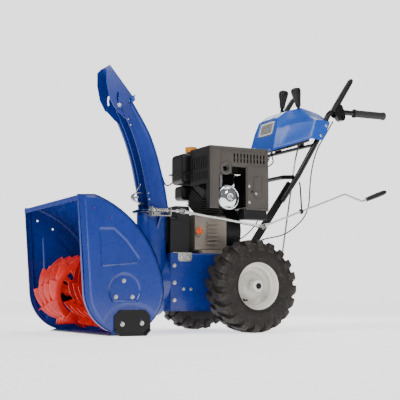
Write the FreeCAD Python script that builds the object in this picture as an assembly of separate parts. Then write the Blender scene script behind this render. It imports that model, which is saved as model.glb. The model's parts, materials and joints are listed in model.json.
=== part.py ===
"""A walk-behind two-stage snowblower, built as separate named sub-parts.

Frame: +Z up, the ground at Z = 0, the machine facing -Y, its operator's left side at +X.
Every Y below is measured from the wheel axle. save() moves each shape by ORIGIN_Y, which puts
the frame's origin on the ground at the middle of the machine's length and width.
All sizes are in millimetres.
"""

import FreeCAD, Part
import math
import os

from FreeCAD import Vector as V

# ---- driving dimensions -------------------------------------------------------------------
ORIGIN_Y = 36.0            # the axle stands this far behind the frame's origin
SHEET = 3.0                # pressed steel sheet
SHAFT_R = 12.5             # auger, impeller and drive shafts
FIT = 0.05                 # radial running clearance of a shaft in its bearing

BUCKET_HALF = 350.0        # outer face of a bucket side plate
AUGER_Y, AUGER_Z = -638.0, 182.0
AUGER_R = 162.0
RIBBON_WIDTH = 58.0        # auger ribbon, from its inner edge to its tooth tips
TOOTH_DEPTH = 18.0
BACK_R = 174.0             # bucket back below its tangent point, round the auger axis
BACK_TANGENT = 10.0        # degrees above horizontal where the two arcs of the back meet
LIP_Y, LIP_Z = -838.0, 557.0
ROOF_Y, ROOF_Z = -766.0, 561.0

DRUM_R = 152.0             # impeller drum, outside
DRUM_Z = 226.0             # impeller axis
DRUM_REAR = -334.0
NECK_X, NECK_Y, NECK_R = 90.0, -400.0, 64.0
NECK_TOP = 520.0
RING_R, RING_Z0, RING_Z1 = 84.0, 524.5, 530.0
RING_TEETH = 48
RING_MESH_R = 81.0         # where the worm's wire runs through the ring's notches
WORM_WIRE_R = 1.9
WORM_COIL_R = 8.0
WORM_SHAFT_R = 4.0

CHUTE_HALF = 50.0          # outer half width of the chute channel
HINGE_Y, HINGE_Z = -520.0, 1011.0
SLOT_R = 68.0              # from the deflector's hinge to its locking bolts

CASE_HALF = 150.0
CASE_FRONT, CASE_REAR = -334.0, 112.0
CASE_LOW, CASE_TOP = 98.0, 348.0

WHEEL_R = 203.0
TYRE_HALF_WIDTH = 75.0
TRACK_HALF = 270.0
RIM_R = 111.0
BEAD_R = 100.0

CRANK_Z = 455.0            # engine crankshaft
ARM_X = 172.0              # lower handle arms
GRIP_X = 250.0
GRIP_LENGTH = 177.0
LEVER_PIVOT = (508.0, 996.0)
CONTROL_X = 100.0          # levers on the panel
CONTROL_PIVOT = (387.0, 960.0)
CABLE_R = 3.0

FILLER = (-30.0, -143.0)   # fuel filler, (x, y)
SHROUD = (50.0, 235.0, -188.0, 117.0, 541.0, 822.0)
DISC_Z = 255.0             # friction disc and hexagonal shaft
HEX_Y = -143.0
SHIFT_ROD_Z = 254.0        # where the shift rod runs into the case

WORM_X = NECK_X + RING_R - 5.0 + WORM_COIL_R + WORM_WIRE_R
WORM_Z = (RING_Z0 + RING_Z1) / 2
JOINT_A = V(WORM_X, -296.0, WORM_Z)      # universal joint behind the worm
JOINT_B = V(280.0, 54.0, 465.0)          # universal joint beside the handle
CRANK_BEND = V(280.0, 503.0, 632.0)
CRANK_OFFSET = 61.0

X, Y, Z = V(1, 0, 0), V(0, 1, 0), V(0, 0, 1)
saved = []


# ---- helpers ------------------------------------------------------------------------------
def save(name, *shapes):
    """Writes one node: its solids, moved into the row frame."""
    solids = [s for shape in shapes for s in shape.Solids]
    for s in solids:
        if not s.isValid() or s.Volume <= 0:
            print("bad solid in", name, s.isValid(), s.Volume)
    whole = solids[0] if len(solids) == 1 else Part.makeCompound(solids)
    whole = whole.copy()
    whole.translate(V(0, ORIGIN_Y, 0))
    whole.exportStep(f"parts/{name}.step")
    saved.append(name)


def box(x0, x1, y0, y1, z0, z1):
    return Part.makeBox(x1 - x0, y1 - y0, z1 - z0, V(x0, y0, z0))


def rod(start, end, radius):
    """A round bar from start to end."""
    along = end - start
    return Part.makeCylinder(radius, along.Length, start, along)


def tube(start, end, outer, inner):
    """A round tube whose bore runs right through."""
    reach = (end - start) * (1.0 / (end - start).Length)
    return rod(start, end, outer).cut(rod(start - reach, end + reach, inner))


def fuse(first, *others):
    whole = first
    for other in others:
        whole = whole.fuse(other)
    return whole.removeSplitter()


def prism_x(points, x0, x1):
    """A solid with the (y, z) outline, from x0 to x1."""
    wire = Part.makePolygon([V(x0, y, z) for y, z in points + points[:1]])
    return Part.Face(wire).extrude(V(x1 - x0, 0, 0))


def prism_y(points, y0, y1):
    """A solid with the (x, z) outline, from y0 to y1."""
    wire = Part.makePolygon([V(x, y0, z) for x, z in points + points[:1]])
    return Part.Face(wire).extrude(V(0, y1 - y0, 0))


def rounded(shape, radius, keep):
    """Fillets the edges whose middle point and direction pass keep(point, direction)."""
    edges = []
    for e in shape.Edges:
        if e.Curve.TypeId != "Part::GeomLine":
            continue
        direction = e.Vertexes[1].Point - e.Vertexes[0].Point
        direction.normalize()
        if keep(e.CenterOfMass, direction):
            edges.append(e)
    return shape.makeFillet(radius, edges)


def block(x0, x1, y0, y1, z0, z1, radius):
    """A box with all its edges rounded."""
    return rounded(box(x0, x1, y0, y1, z0, z1), radius, lambda p, d: True)


def revolve(profile, point, axis, angle=360):
    """Revolves a closed (along, radius) outline round the axis through point."""
    side = X if abs(axis.x) < 0.5 else Z
    corners = [point + axis * a + side * r for a, r in profile]
    face = Part.Face(Part.makePolygon(corners + corners[:1]))
    return face.revolve(point, axis, angle)


def bent(points, bends):
    """A wire through the points, with an arc of the given radius at each inner point."""
    edges = []
    start = points[0]
    for before, corner, after, radius in zip(points, points[1:], points[2:], bends):
        back = (before - corner).normalize()
        ahead = (after - corner).normalize()
        half = back.getAngle(ahead) / 2
        reach = radius / math.tan(half)
        inward = (back + ahead).normalize()
        middle = corner + inward * (radius / math.sin(half) - radius)
        enter = corner + back * reach
        leave = corner + ahead * reach
        edges.append(Part.LineSegment(start, enter).toShape())
        edges.append(Part.Arc(enter, middle, leave).toShape())
        start = leave
    edges.append(Part.LineSegment(start, points[-1]).toShape())
    return Part.Wire(edges)


def bar(points, bends, radius):
    """A round bar bent along the points."""
    path = bent(points, bends)
    circle = Part.Wire(Part.makeCircle(radius, points[0], points[1] - points[0]))
    return path.makePipeShell([circle], True, False)


def cable(points, radius):
    """A cable along the points, every bend as large as its two runs allow."""
    bends = []
    for before, corner, after in zip(points, points[1:], points[2:]):
        shorter = min((corner - before).Length, (after - corner).Length)
        turn = math.pi - (before - corner).getAngle(after - corner)
        bends.append(0.45 * shorter / math.tan(turn / 2))
    made = bar(points, bends, radius)
    length = bent(points, bends).Length
    print(
        "cable: %.0f mm long, bends %s, volume over section times length %.4f"
        % (length, [round(b) for b in bends], made.Volume / (math.pi * radius**2 * length))
    )
    return made


def hexagon(centre, axis, across, height):
    """A hexagonal head standing on centre, along axis."""
    axis = V(axis).normalize()
    side = axis.cross(Z if abs(axis.z) < 0.9 else X).normalize()
    up = axis.cross(side)
    corner = across / math.sqrt(3)
    corners = []
    for i in range(6):
        a = math.radians(60 * i)
        corners.append(centre + side * (corner * math.cos(a)) + up * (corner * math.sin(a)))
    face = Part.Face(Part.makePolygon(corners + corners[:1]))
    return face.extrude(axis * height)


def bolt(centre, axis, across=13.0):
    """A flanged hexagon bolt head resting on a face."""
    axis = V(axis).normalize()
    flange = Part.makeCylinder(across * 0.72, 1.6, centre, axis)
    return flange.fuse(hexagon(centre + axis * 1.6, axis, across, across * 0.42))


def mirror_x(shape):
    return shape.mirror(V(0, 0, 0), X)


def on_arc(cy, cz, radius, degrees):
    a = math.radians(degrees)
    return cy + radius * math.cos(a), cz + radius * math.sin(a)


# ---- bucket -------------------------------------------------------------------------------
def back_arc():
    """Centre and radius of the bucket back's large arc: it meets the small arc smoothly."""
    cy, cz = on_arc(AUGER_Y, AUGER_Z, BACK_R, BACK_TANGENT)
    a = math.radians(BACK_TANGENT)
    uy, uz = -math.cos(a), -math.sin(a)
    dy, dz = ROOF_Y - cy, ROOF_Z - cz
    radius = (dy * dy + dz * dz) / (2 * (dy * uy + dz * uz))
    return cy + radius * uy, cz + radius * uz, radius


def bucket_outline(grow, x):
    """The roof and back of the bucket's side outline, grown outwards, and where it ends below."""
    big_y, big_z, big_r = back_arc()
    roof_a = math.degrees(math.atan2(ROOF_Z - big_z, ROOF_Y - big_y))
    high = on_arc(big_y, big_z, big_r + grow, roof_a)
    middle = on_arc(big_y, big_z, big_r + grow, (roof_a + BACK_TANGENT) / 2)
    join = on_arc(AUGER_Y, AUGER_Z, BACK_R + grow, BACK_TANGENT)
    low_mid = on_arc(AUGER_Y, AUGER_Z, BACK_R + grow, -40)
    low = (AUGER_Y, AUGER_Z - BACK_R - grow)
    place = lambda p: V(x, p[0], p[1])
    edges = [
        Part.LineSegment(place((LIP_Y, LIP_Z + grow)), place(high)).toShape(),
        Part.Arc(place(high), place(middle), place(join)).toShape(),
        Part.Arc(place(join), place(low_mid), place(low)).toShape(),
    ]
    return edges, low, place


def bucket_volume(grow, ahead, x0, x1):
    """The space inside the bucket's back, open towards the front by 'ahead'."""
    edges, low, place = bucket_outline(grow, x0)
    toe = (AUGER_Y - 52, low[1])
    corners = [low, toe, (toe[0] - ahead, low[1]), (LIP_Y - ahead, LIP_Z + grow), (LIP_Y, LIP_Z + grow)]
    if not ahead:
        corners = [low, toe, (LIP_Y, LIP_Z + grow)]
    for a, b in zip(corners, corners[1:]):
        edges.append(Part.LineSegment(place(a), place(b)).toShape())
    return Part.Face(Part.Wire(edges)).extrude(V(x1 - x0, 0, 0))


CUTTER_HOLES = [(-773.0, 505.0), (-699.0, 469.0)]
BEARING_BOLTS = [on_arc(AUGER_Y, AUGER_Z - 4, 42, a) for a in (92, 212, 328)]
SKID_BOLTS = [(-647.0, 46.0), (-562.0, 49.0)]


def side_plate():
    """The left side plate of the bucket, with its turned rim and its bolt holes."""
    inner = BUCKET_HALF - SHEET
    edges, low, place = bucket_outline(4.0, inner)
    chin = on_arc(AUGER_Y, AUGER_Z, 172, -135)
    cheek = on_arc(AUGER_Y, AUGER_Z, 173, 172)
    edges.append(Part.Arc(place(low), place(chin), place(cheek)).toShape())
    edges.append(Part.LineSegment(place(cheek), place((LIP_Y, LIP_Z + 4))).toShape())
    plate = Part.Face(Part.Wire(edges)).extrude(V(SHEET, 0, 0))
    for y, z in CUTTER_HOLES:
        plate = plate.cut(rod(V(inner - 5, y, z), V(BUCKET_HALF + 5, y, z), 4.5))
    for y, z in BEARING_BOLTS:
        plate = plate.cut(rod(V(inner - 5, y, z), V(BUCKET_HALF + 5, y, z), 4.2))
    centre = V(inner - 5, AUGER_Y, AUGER_Z)
    return plate.cut(rod(centre, centre + X * 20, SHAFT_R + 2))


def bucket():
    left = side_plate()
    save("bucket_sides", left, mirror_x(left))
    inner = BUCKET_HALF - SHEET
    back = bucket_volume(0, 0, -inner, inner).cut(bucket_volume(-SHEET, 60, -inner - 1, inner + 1))
    back = back.cut(rod(V(0, -560, DRUM_Z), V(0, -300, DRUM_Z), DRUM_R - SHEET))
    hem = box(-inner, inner, LIP_Y, LIP_Y + SHEET, LIP_Z - 20, LIP_Z - 1)
    save("bucket_back", fuse(back, hem))
    blade = box(-344, 344, AUGER_Y - 66, AUGER_Y - 4, 2.5, 7.9)
    blade = rounded(blade, 2.0, lambda p, d: abs(d.x) > 0.9 and p.y < AUGER_Y - 60 and p.z < 4)
    save("scraper_blade", blade)


def skid_shoe():
    """A skid: a bolted plate with a foot turned in under the side plate."""
    outline = [(-682, 24), (-660, 0), (-546, 0), (-523, 24), (-523, 78), (-546, 104), (-655, 104),
               (-682, 80)]
    plate = prism_x(outline, BUCKET_HALF + 0.2, BUCKET_HALF + 5.2)
    foot = box(BUCKET_HALF - 22, BUCKET_HALF + 3, -656, -550, 0, 2.4)
    band = [(-682, 24), (-660, 0), (-546, 0), (-523, 24), (-530, 28), (-551, 7), (-655, 7), (-675, 28)]
    rim = prism_x(band, BUCKET_HALF + 4, BUCKET_HALF + 14)
    shoe = fuse(plate, foot, rim)
    for y, z in SKID_BOLTS:
        slot = box(BUCKET_HALF - 5, BUCKET_HALF + 20, y - 4.5, y + 4.5, z - 6, z + 18)
        shoe = shoe.cut(slot)
    return shoe


def skids():
    left = skid_shoe()
    save("skid_shoes", left, mirror_x(left))


def auger_bearings():
    """Flanged bushes bolted inside the side plates, which carry the auger shaft."""
    inner = BUCKET_HALF - SHEET
    profile = [(0, SHAFT_R + FIT), (0, 55), (-4, 55), (-9, 26), (-26, 22), (-26, SHAFT_R + FIT)]
    bearing = revolve(profile, V(inner, AUGER_Y, AUGER_Z), X)
    for y, z in BEARING_BOLTS:
        bearing = bearing.cut(rod(V(inner - 30, y, z), V(inner + 5, y, z), 4.2))
    save("auger_bearings", bearing, mirror_x(bearing))


# ---- auger --------------------------------------------------------------------------------
def solid_of(triangles):
    """A solid from a closed set of triangles."""
    faces = []
    for a, b, c in triangles:
        faces.append(Part.Face(Part.makePolygon([a, b, c, a])))
    return Part.Solid(Part.makeShell(faces))


def ribbon(x0, x1, phase, turns, teeth):
    """One serrated helical ribbon: the outer edge steps in along every tooth."""
    inner = AUGER_R - RIBBON_WIDTH
    sections = []
    half = 2.0
    for i in range(teeth):
        for share, drop in ((0.0, 0.0), (0.5, 0.45), (0.985, 1.0)):
            t = (i + share) / teeth
            sections.append((t, AUGER_R - drop * TOOTH_DEPTH))
    sections.append((1.0, AUGER_R - TOOTH_DEPTH))
    rings = []
    for t, outer in sections:
        a = phase + 2 * math.pi * turns * t
        x = x0 + (x1 - x0) * t
        radial = V(0, math.cos(a), math.sin(a))
        centre = V(x, AUGER_Y, AUGER_Z)
        corners = []
        for r, side in ((inner, -half), (outer, -half), (outer, half), (inner, half)):
            corners.append(centre + radial * r + X * side)
        rings.append(corners)
    triangles = []
    first, last = rings[0], rings[-1]
    triangles += [(first[0], first[2], first[1]), (first[0], first[3], first[2])]
    triangles += [(last[0], last[1], last[2]), (last[0], last[2], last[3])]
    for low, high in zip(rings, rings[1:]):
        for k in range(4):
            n = (k + 1) % 4
            triangles += [(low[k], low[n], high[n]), (low[k], high[n], high[k])]
    made = solid_of(triangles)
    if made.Volume < 0:
        made.reverse()
    return made


def flight(side):
    """Half of the auger: a hub tube, two ribbons and the spokes that hold them."""
    hub = tube(V(52, AUGER_Y, AUGER_Z), V(318, AUGER_Y, AUGER_Z), 19, SHAFT_R + 0.02)
    x0, x1, turns, teeth = 62.0, 312.0, 1.95, 19
    parts = []
    for start in (0.0, math.pi):
        phase = start + (0.3 if side > 0 else 0.9)
        parts.append(ribbon(x0, x1, phase, turns, teeth))
        for t in (0.1, 0.5, 0.94):
            a = phase + 2 * math.pi * turns * t
            spoke = box(-3, 3, 0, AUGER_R - RIBBON_WIDTH + 8, -9, 9)
            spoke = spoke.cut(box(-4, 4, -20, 14, -20, 20))
            spoke.rotate(V(0, 0, 0), X, math.degrees(a))
            spoke.translate(V(x0 + (x1 - x0) * t, AUGER_Y, AUGER_Z))
            parts.append(spoke)
    whole = hub
    for p in parts:
        whole = whole.fuse(p)
    pin = V(70, AUGER_Y, AUGER_Z)
    whole = whole.cut(rod(pin - Z * 30, pin + Z * 30, 3.6))
    return whole if side > 0 else mirror_x(whole)


def auger():
    save("auger_flight_left", flight(1))
    save("auger_flight_right", flight(-1))
    shaft = rod(V(-345, AUGER_Y, AUGER_Z), V(345, AUGER_Y, AUGER_Z), SHAFT_R)
    wheel = rod(V(-8, AUGER_Y, AUGER_Z), V(8, AUGER_Y, AUGER_Z), 29)
    shaft = fuse(shaft, wheel)
    pins = []
    for x in (-70, 70):
        centre = V(x, AUGER_Y, AUGER_Z)
        shaft = shaft.cut(rod(centre - Z * 30, centre + Z * 30, 3.6))
        pin = rod(centre - Z * 24, centre + Z * 24, 3.5)
        pins.append(fuse(pin, hexagon(centre + Z * 21, Z, 11, 5)))
    save("auger_shaft", shaft)
    save("shear_pins", *pins)


def gearbox():
    """The auger gearbox: a split case round the worm wheel, with a neck for the worm shaft."""
    centre = V(0, AUGER_Y, AUGER_Z)
    barrel = rod(centre - X * 46, centre + X * 46, 52)
    upper = rod(V(0, AUGER_Y - 44, DRUM_Z), V(0, AUGER_Y + 96, DRUM_Z), 30)
    web = box(-24, 24, AUGER_Y - 40, AUGER_Y + 40, AUGER_Z, DRUM_Z)
    case = fuse(barrel, upper, web)
    rib = rod(centre - X * 3, centre + X * 3, 58)
    case = fuse(case, rib)
    case = case.cut(rod(centre - X * 40, centre + X * 40, 34))
    case = case.cut(rod(centre - X * 60, centre + X * 60, SHAFT_R + FIT))
    case = case.cut(rod(V(0, AUGER_Y - 36, DRUM_Z), V(0, AUGER_Y + 60, DRUM_Z), 19))
    case = case.cut(rod(V(0, AUGER_Y, DRUM_Z), V(0, AUGER_Y + 120, DRUM_Z), SHAFT_R + FIT))
    save("auger_gearbox", case)


# ---- impeller -----------------------------------------------------------------------------
def impeller():
    hub = tube(V(0, -478, DRUM_Z), V(0, -352, DRUM_Z), 21, SHAFT_R + 0.02)
    whole = hub
    for i in range(4):
        blade = box(-2.5, 2.5, -474, -356, 0, DRUM_R - 14)
        tip = box(-2.5, 20, -474, -356, DRUM_R - 22, DRUM_R - 16)
        blade = blade.fuse(tip).cut(box(-30, 30, -500, -300, -30, 17))
        blade.rotate(V(0, 0, 0), Y, 90 * i + 20)
        blade.translate(V(0, 0, DRUM_Z))
        whole = whole.fuse(blade)
    save("impeller", whole.removeSplitter())
    shaft = rod(V(0, AUGER_Y - 30, DRUM_Z), V(0, -288, DRUM_Z), SHAFT_R)
    worm = rod(V(0, AUGER_Y - 26, DRUM_Z), V(0, AUGER_Y + 26, DRUM_Z), 14)
    save("impeller_shaft", fuse(shaft, worm, pulley(V(0, -300, DRUM_Z), 84, SHAFT_R - 1)))


def pulley(centre, radius, bore):
    """A vee pulley across Y: the belt lies between its flanges."""
    profile = [(-9, bore), (-9, radius), (-7, radius), (-5, radius - 11), (5, radius - 11), (7, radius),
               (9, radius), (9, bore)]
    return revolve(profile, centre, Y)


def drum():
    """The impeller drum, its rear wall, the discharge neck and the flange that carries the chute."""
    front = AUGER_Y + 60
    outer = rod(V(0, front, DRUM_Z), V(0, DRUM_REAR, DRUM_Z), DRUM_R)
    outer = outer.fuse(rod(V(NECK_X, NECK_Y, DRUM_Z), V(NECK_X, NECK_Y, NECK_TOP), NECK_R))
    inner = rod(V(0, front - 5, DRUM_Z), V(0, DRUM_REAR - SHEET, DRUM_Z), DRUM_R - SHEET)
    inner = inner.fuse(rod(V(NECK_X, NECK_Y, DRUM_Z), V(NECK_X, NECK_Y, NECK_TOP + 9), NECK_R - SHEET))
    whole = outer.cut(bucket_volume(0.05, 0, -400, 400)).cut(inner)
    flange = tube(V(NECK_X, NECK_Y, NECK_TOP), V(NECK_X, NECK_Y, RING_Z0 - 0.4), RING_R - 5, NECK_R - SHEET)
    whole = whole.fuse(flange)
    bore = rod(V(0, -350, DRUM_Z), V(0, -320, DRUM_Z), SHAFT_R + FIT)
    boss = rod(V(0, DRUM_REAR - 10, DRUM_Z), V(0, DRUM_REAR, DRUM_Z), 28)
    whole = whole.fuse(boss).cut(bore)
    save("impeller_drum", fuse(whole, worm_bracket()))


# ---- chute --------------------------------------------------------------------------------
CHUTE_FRONT = [(-437, 530), (-441, 580), (-452, 640), (-476, 745), (-511, 850), (-562, 962)]
CHUTE_REAR = [(-512, 1006), (-436, 886), (-400, 805), (-375, 724), (-351, 630), (-334, 530)]


def curve_x(points, x):
    """A smooth edge through (y, z) points at the given x."""
    line = Part.BSplineCurve()
    line.interpolate([V(x, y, z) for y, z in points])
    return line.toShape()


def chute_section(x0, x1, shrink, overrun):
    """The chute's side outline as a solid slab."""
    front = [(y + shrink, z) for y, z in CHUTE_FRONT]
    rear = [(y - shrink, z) for y, z in CHUTE_REAR]
    front[0] = (front[0][0], front[0][1] - overrun)
    rear[-1] = (rear[-1][0], rear[-1][1] - overrun)
    a, b = curve_x(front, x0), curve_x(rear, x0)
    top = Part.LineSegment(V(x0, *front[-1]), V(x0, *rear[0])).toShape()
    low = Part.LineSegment(V(x0, *rear[-1]), V(x0, *front[0])).toShape()
    return Part.Face(Part.Wire([a, top, b, low])).extrude(V(x1 - x0, 0, 0))


def chute_ring():
    """The turning ring under the chute, with a notch for every turn of the worm."""
    base = V(NECK_X, NECK_Y, RING_Z0)
    top = V(NECK_X, NECK_Y, RING_Z1)
    ring = tube(base, top, RING_R, 58)
    whole = ring
    notches = []
    for i in range(RING_TEETH):
        notch = box(RING_R - 8, RING_R + 4, -3.1, 3.1, -10, 10)
        notch.rotate(V(0, 0, 0), Z, 360.0 * i / RING_TEETH)
        notch.translate(base)
        notches.append(notch)
    return whole.cut(Part.makeCompound(notches))


def chute():
    ring = chute_ring()
    save("chute_ring", ring)
    left, right = NECK_X - CHUTE_HALF, NECK_X + CHUTE_HALF
    body = chute_section(left, right, 0, 0)
    hollow = chute_section(left + SHEET, right - SHEET, 0, 2)
    hollow.translate(V(0, -SHEET - 1, 0))
    body = body.cut(hollow)
    channel = body.common(box(0, 300, -700, -300, RING_Z1, 1100))
    base = V(NECK_X, NECK_Y, RING_Z1)
    channel = channel.cut(tube(base, base + Z * 16, 110, 72))
    channel = channel.fuse(rod(base, base + Z * 4, 72)).cut(rod(base - Z, base + Z * 10, 57.9))
    bolt_y, bolt_z = slot_bolt()
    ear = [(-540, 915), (-570, 942), (-592, 964), (-594, 986), (-574, 996), (-528, 990)]
    whole = fuse(channel, prism_x(ear, left, left + SHEET), prism_x(ear, right - SHEET, right))
    studs = []
    for x, direction in ((right + 0.05, X), (left - 0.05, X * -1)):
        start = V(x, bolt_y, bolt_z)
        studs.append(rod(start - direction * 4, start + direction * 8, 3.0))
        studs.append(rod(start + direction * 4.4, start + direction * 8, 9))
    save("chute", fuse(whole, *studs))


def slot_bolt():
    """Where the two locking bolts go through the chute's cheeks."""
    return on_arc(HINGE_Y, HINGE_Z, SLOT_R, 210)


def deflector():
    """The hood on top of the chute. It swings about its rear hinge; its cheeks have arc slots."""
    half = CHUTE_HALF + 4.0
    cheek = [(-514, 1020), (-624, 1150), (-640, 1132), (-640, 1075), (-626, 1010), (-603, 968), (-585, 958),
             (-560, 968), (-532, 1000)]
    hood = prism_x(cheek, NECK_X - half, NECK_X + half)
    inner = NECK_X - half + SHEET, NECK_X + half - SHEET
    top_y, top_z = -624.0, 1150.0
    run = V(0, top_y + 514, top_z - 1020).normalize()
    inward = V(0, -run.z, run.y)
    shift = inward * SHEET
    tip_y, tip_z = top_y + run.y * 60, top_z + run.z * 60
    under = [(-400 + shift.y, 885.3 + shift.z), (tip_y + shift.y, tip_z + shift.z), (-760, 1200), (-760, 880)]
    hollow = prism_x(under, *inner)
    hood = hood.cut(hollow)
    slot = tube(V(-100, HINGE_Y, HINGE_Z), V(400, HINGE_Y, HINGE_Z), SLOT_R + 4, SLOT_R - 4)
    bolt_y, bolt_z = slot_bolt()
    reach = V(0, bolt_y - HINGE_Y, bolt_z - HINGE_Z)
    first = FreeCAD.Rotation(X, 3.5).multVec(reach)
    last = FreeCAD.Rotation(X, -50).multVec(reach)
    wedge = prism_x([(HINGE_Y, HINGE_Z), (HINGE_Y + first.y * 2, HINGE_Z + first.z * 2),
                     (HINGE_Y + (first.y + last.y) * 1.6, HINGE_Z + (first.z + last.z) * 1.6),
                     (HINGE_Y + last.y * 2, HINGE_Z + last.z * 2)], -100, 400)
    hood = hood.cut(slot.common(wedge))
    pin_l = rod(V(NECK_X - half - 4, HINGE_Y, HINGE_Z), V(NECK_X - half + 1, HINGE_Y, HINGE_Z), 6)
    pin_r = rod(V(NECK_X + half - 1, HINGE_Y, HINGE_Z), V(NECK_X + half + 4, HINGE_Y, HINGE_Z), 6)
    ears = []
    for x0, x1 in ((NECK_X - half, inner[0]), (inner[1], NECK_X + half)):
        ears.append(rod(V(x0, HINGE_Y, HINGE_Z), V(x1, HINGE_Y, HINGE_Z), 15))
    save("deflector", fuse(hood, pin_l, pin_r, *ears))


def worm():
    """The crank's worm: a wire coil on a shaft, whose turns run through the ring's notches."""
    pitch = 2 * math.pi * RING_MESH_R / RING_TEETH
    reach = 31.0
    helix = Part.makeHelix(pitch, 2 * reach, WORM_COIL_R)
    circle = Part.Wire(Part.makeCircle(WORM_WIRE_R, V(WORM_COIL_R, 0, 0), V(0, 1, 0)))
    coil = Part.Wire(helix).makePipeShell([circle], True, True)
    # made along Z with its middle turn on +X, then laid along Y with that turn beside the ring
    coil.rotate(V(0, 0, 0), Z, 180 - math.degrees(2 * math.pi * reach / pitch))
    coil.rotate(V(0, 0, 0), X, -90)
    coil.translate(V(WORM_X, NECK_Y - reach, WORM_Z))
    core = rod(V(WORM_X, NECK_Y - 54, WORM_Z), V(WORM_X, JOINT_A.y - 13, WORM_Z), WORM_SHAFT_R)
    for side in (-1, 1):
        middle = NECK_Y + side * 32.5
        core = core.fuse(rod(V(WORM_X, middle - 2.5, WORM_Z), V(WORM_X, middle + 2.5, WORM_Z), 10))
    save("chute_worm", core.fuse(coil), fork(JOINT_A, Y, X, False))


def fork(centre, along, ear, cross):
    """One half of a universal joint, with or without its cross. along points towards the centre."""
    along = V(along).normalize()
    ear = V(ear).normalize()
    side = along.cross(ear)
    hub = rod(centre - along * 30, centre - along * 13, 8)
    made = hub
    for sign in (1, -1):
        low = centre - along * 17 + ear * (sign * 9.5)
        cheek = slab(low, along * 23, side * 5, ear * 1.6)
        made = made.fuse(cheek)
        stub = rod(centre + ear * (sign * 11), centre + ear * (sign * (4 if cross else 7.2)), 2.6)
        made = made.fuse(stub)
    bridge = slab(centre - along * 17, along * 4, side * 5, ear * 9.5)
    made = made.fuse(bridge)
    if cross:
        made = made.fuse(rod(centre - ear * 5.5, centre + ear * 5.5, 5.5))
    return made.removeSplitter()


def slab(start, along, half_side, half_ear):
    """A box from start, along one vector, half as wide and high on each side as the others say."""
    a, b, c = start - half_side - half_ear, half_side * 2, half_ear * 2
    face = Part.Face(Part.makePolygon([a, a + b, a + b + c, a + c, a]))
    return face.extrude(along)


def steering_rods():
    along = (JOINT_B - JOINT_A).normalize()
    side = along.cross(X).normalize()
    link = rod(JOINT_A + along * 26, JOINT_B - along * 26, 6)
    ears = X - along * X.dot(along)
    ends = fork(JOINT_A, along * -1, side, True), fork(JOINT_B, along, ears.normalize(), True)
    save("link_rod", fuse(link, *ends))
    crank = (CRANK_BEND - JOINT_B).normalize()
    down = crank.cross(X).normalize()
    if down.z > 0:
        down = down * -1
    knee = CRANK_BEND + crank * 81 + down * CRANK_OFFSET
    path = [JOINT_B + crank * 26, CRANK_BEND, knee, knee + crank * 155]
    crank_bar = bar(path, [14, 14], 5)
    collar = rod(knee + crank * 22, knee + crank * 26, 8)
    stop = rod(knee + crank * 152, knee + crank * 155, 7)
    end = fork(JOINT_B, crank * -1, crank.cross(X).normalize(), False)
    save("crank_rod", fuse(crank_bar, end, collar, stop))
    grip = tube(knee + crank * 26.5, knee + crank * 151.5, 12, 5.1)
    save("crank_grip", grip)
    return crank, knee


def worm_bracket():
    """The bracket beside the chute that carries the worm."""
    y0, y1 = NECK_Y - 47, NECK_Y + 45
    base = box(NECK_X + 48, WORM_X + 20, y0, y1, NECK_TOP - 18, NECK_TOP - 14)
    base = base.cut(rod(V(NECK_X, NECK_Y, 400), V(NECK_X, NECK_Y, 600), NECK_R - 1.5))
    whole = base
    for y in (y0, y1 - 4):
        ear = box(WORM_X - 13, WORM_X + 20, y, y + 4, NECK_TOP - 18, WORM_Z + 14)
        whole = whole.fuse(ear)
    whole = whole.cut(rod(V(WORM_X, y0 - 5, WORM_Z), V(WORM_X, y1 + 5, WORM_Z), WORM_SHAFT_R + FIT))
    inside, under = NECK_X + 62.5, NECK_TOP - 18
    web = [(inside, under), (WORM_X + 10, under), (inside, NECK_TOP - 70)]
    gusset = prism_y(web, NECK_Y - 3, NECK_Y + 3)
    return fuse(whole, gusset)


# ---- transmission -------------------------------------------------------------------------
def case():
    outer = box(-CASE_HALF, CASE_HALF, CASE_FRONT, CASE_REAR, CASE_LOW, CASE_TOP)
    inner = box(-CASE_HALF + SHEET, CASE_HALF - SHEET, CASE_FRONT + SHEET, CASE_REAR - SHEET, CASE_LOW - 10,
                CASE_TOP - SHEET)
    whole = rounded(outer, 8, lambda p, d: abs(d.y) > 0.9 and p.z > CASE_TOP - 1).cut(inner)
    whole = whole.cut(box(-112, 112, CASE_FRONT + 6, -246, CASE_TOP - 20, CASE_TOP + 20))
    whole = whole.cut(rod(V(0, CASE_FRONT - 5, DRUM_Z), V(0, CASE_FRONT + 5, DRUM_Z), 30))
    rod_slot = box(CONTROL_X - 8, CONTROL_X + 8, CASE_REAR - 10, CASE_REAR + 10, SHIFT_ROD_Z - 20,
                   SHIFT_ROD_Z + 24)
    whole = whole.cut(rod_slot)
    for side in (-1, 1):
        wall = side * CASE_HALF
        for y, z, radius in ((0, WHEEL_R, 26), (HEX_Y, DISC_Z, 20)):
            boss = rod(V(wall, y, z), V(wall - side * 14, y, z), radius)
            whole = whole.fuse(boss)
    whole = whole.cut(rod(V(-400, 0, WHEEL_R), V(400, 0, WHEEL_R), SHAFT_R + FIT))
    whole = whole.cut(rod(V(-146, HEX_Y, DISC_Z), V(146, HEX_Y, DISC_Z), 8 + FIT))
    plate = box(-30, 30, -247, -241, DISC_Z - 30, CASE_TOP - SHEET)
    whole = whole.fuse(plate).cut(rod(V(0, -260, DISC_Z), V(0, -230, DISC_Z), 8 + FIT))
    save("transmission_case", whole.removeSplitter())
    floor = box(-CASE_HALF - 6, CASE_HALF + 6, CASE_FRONT, CASE_REAR, CASE_LOW - 3.2, CASE_LOW - 0.2)
    save("transmission_floor", floor)


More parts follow.
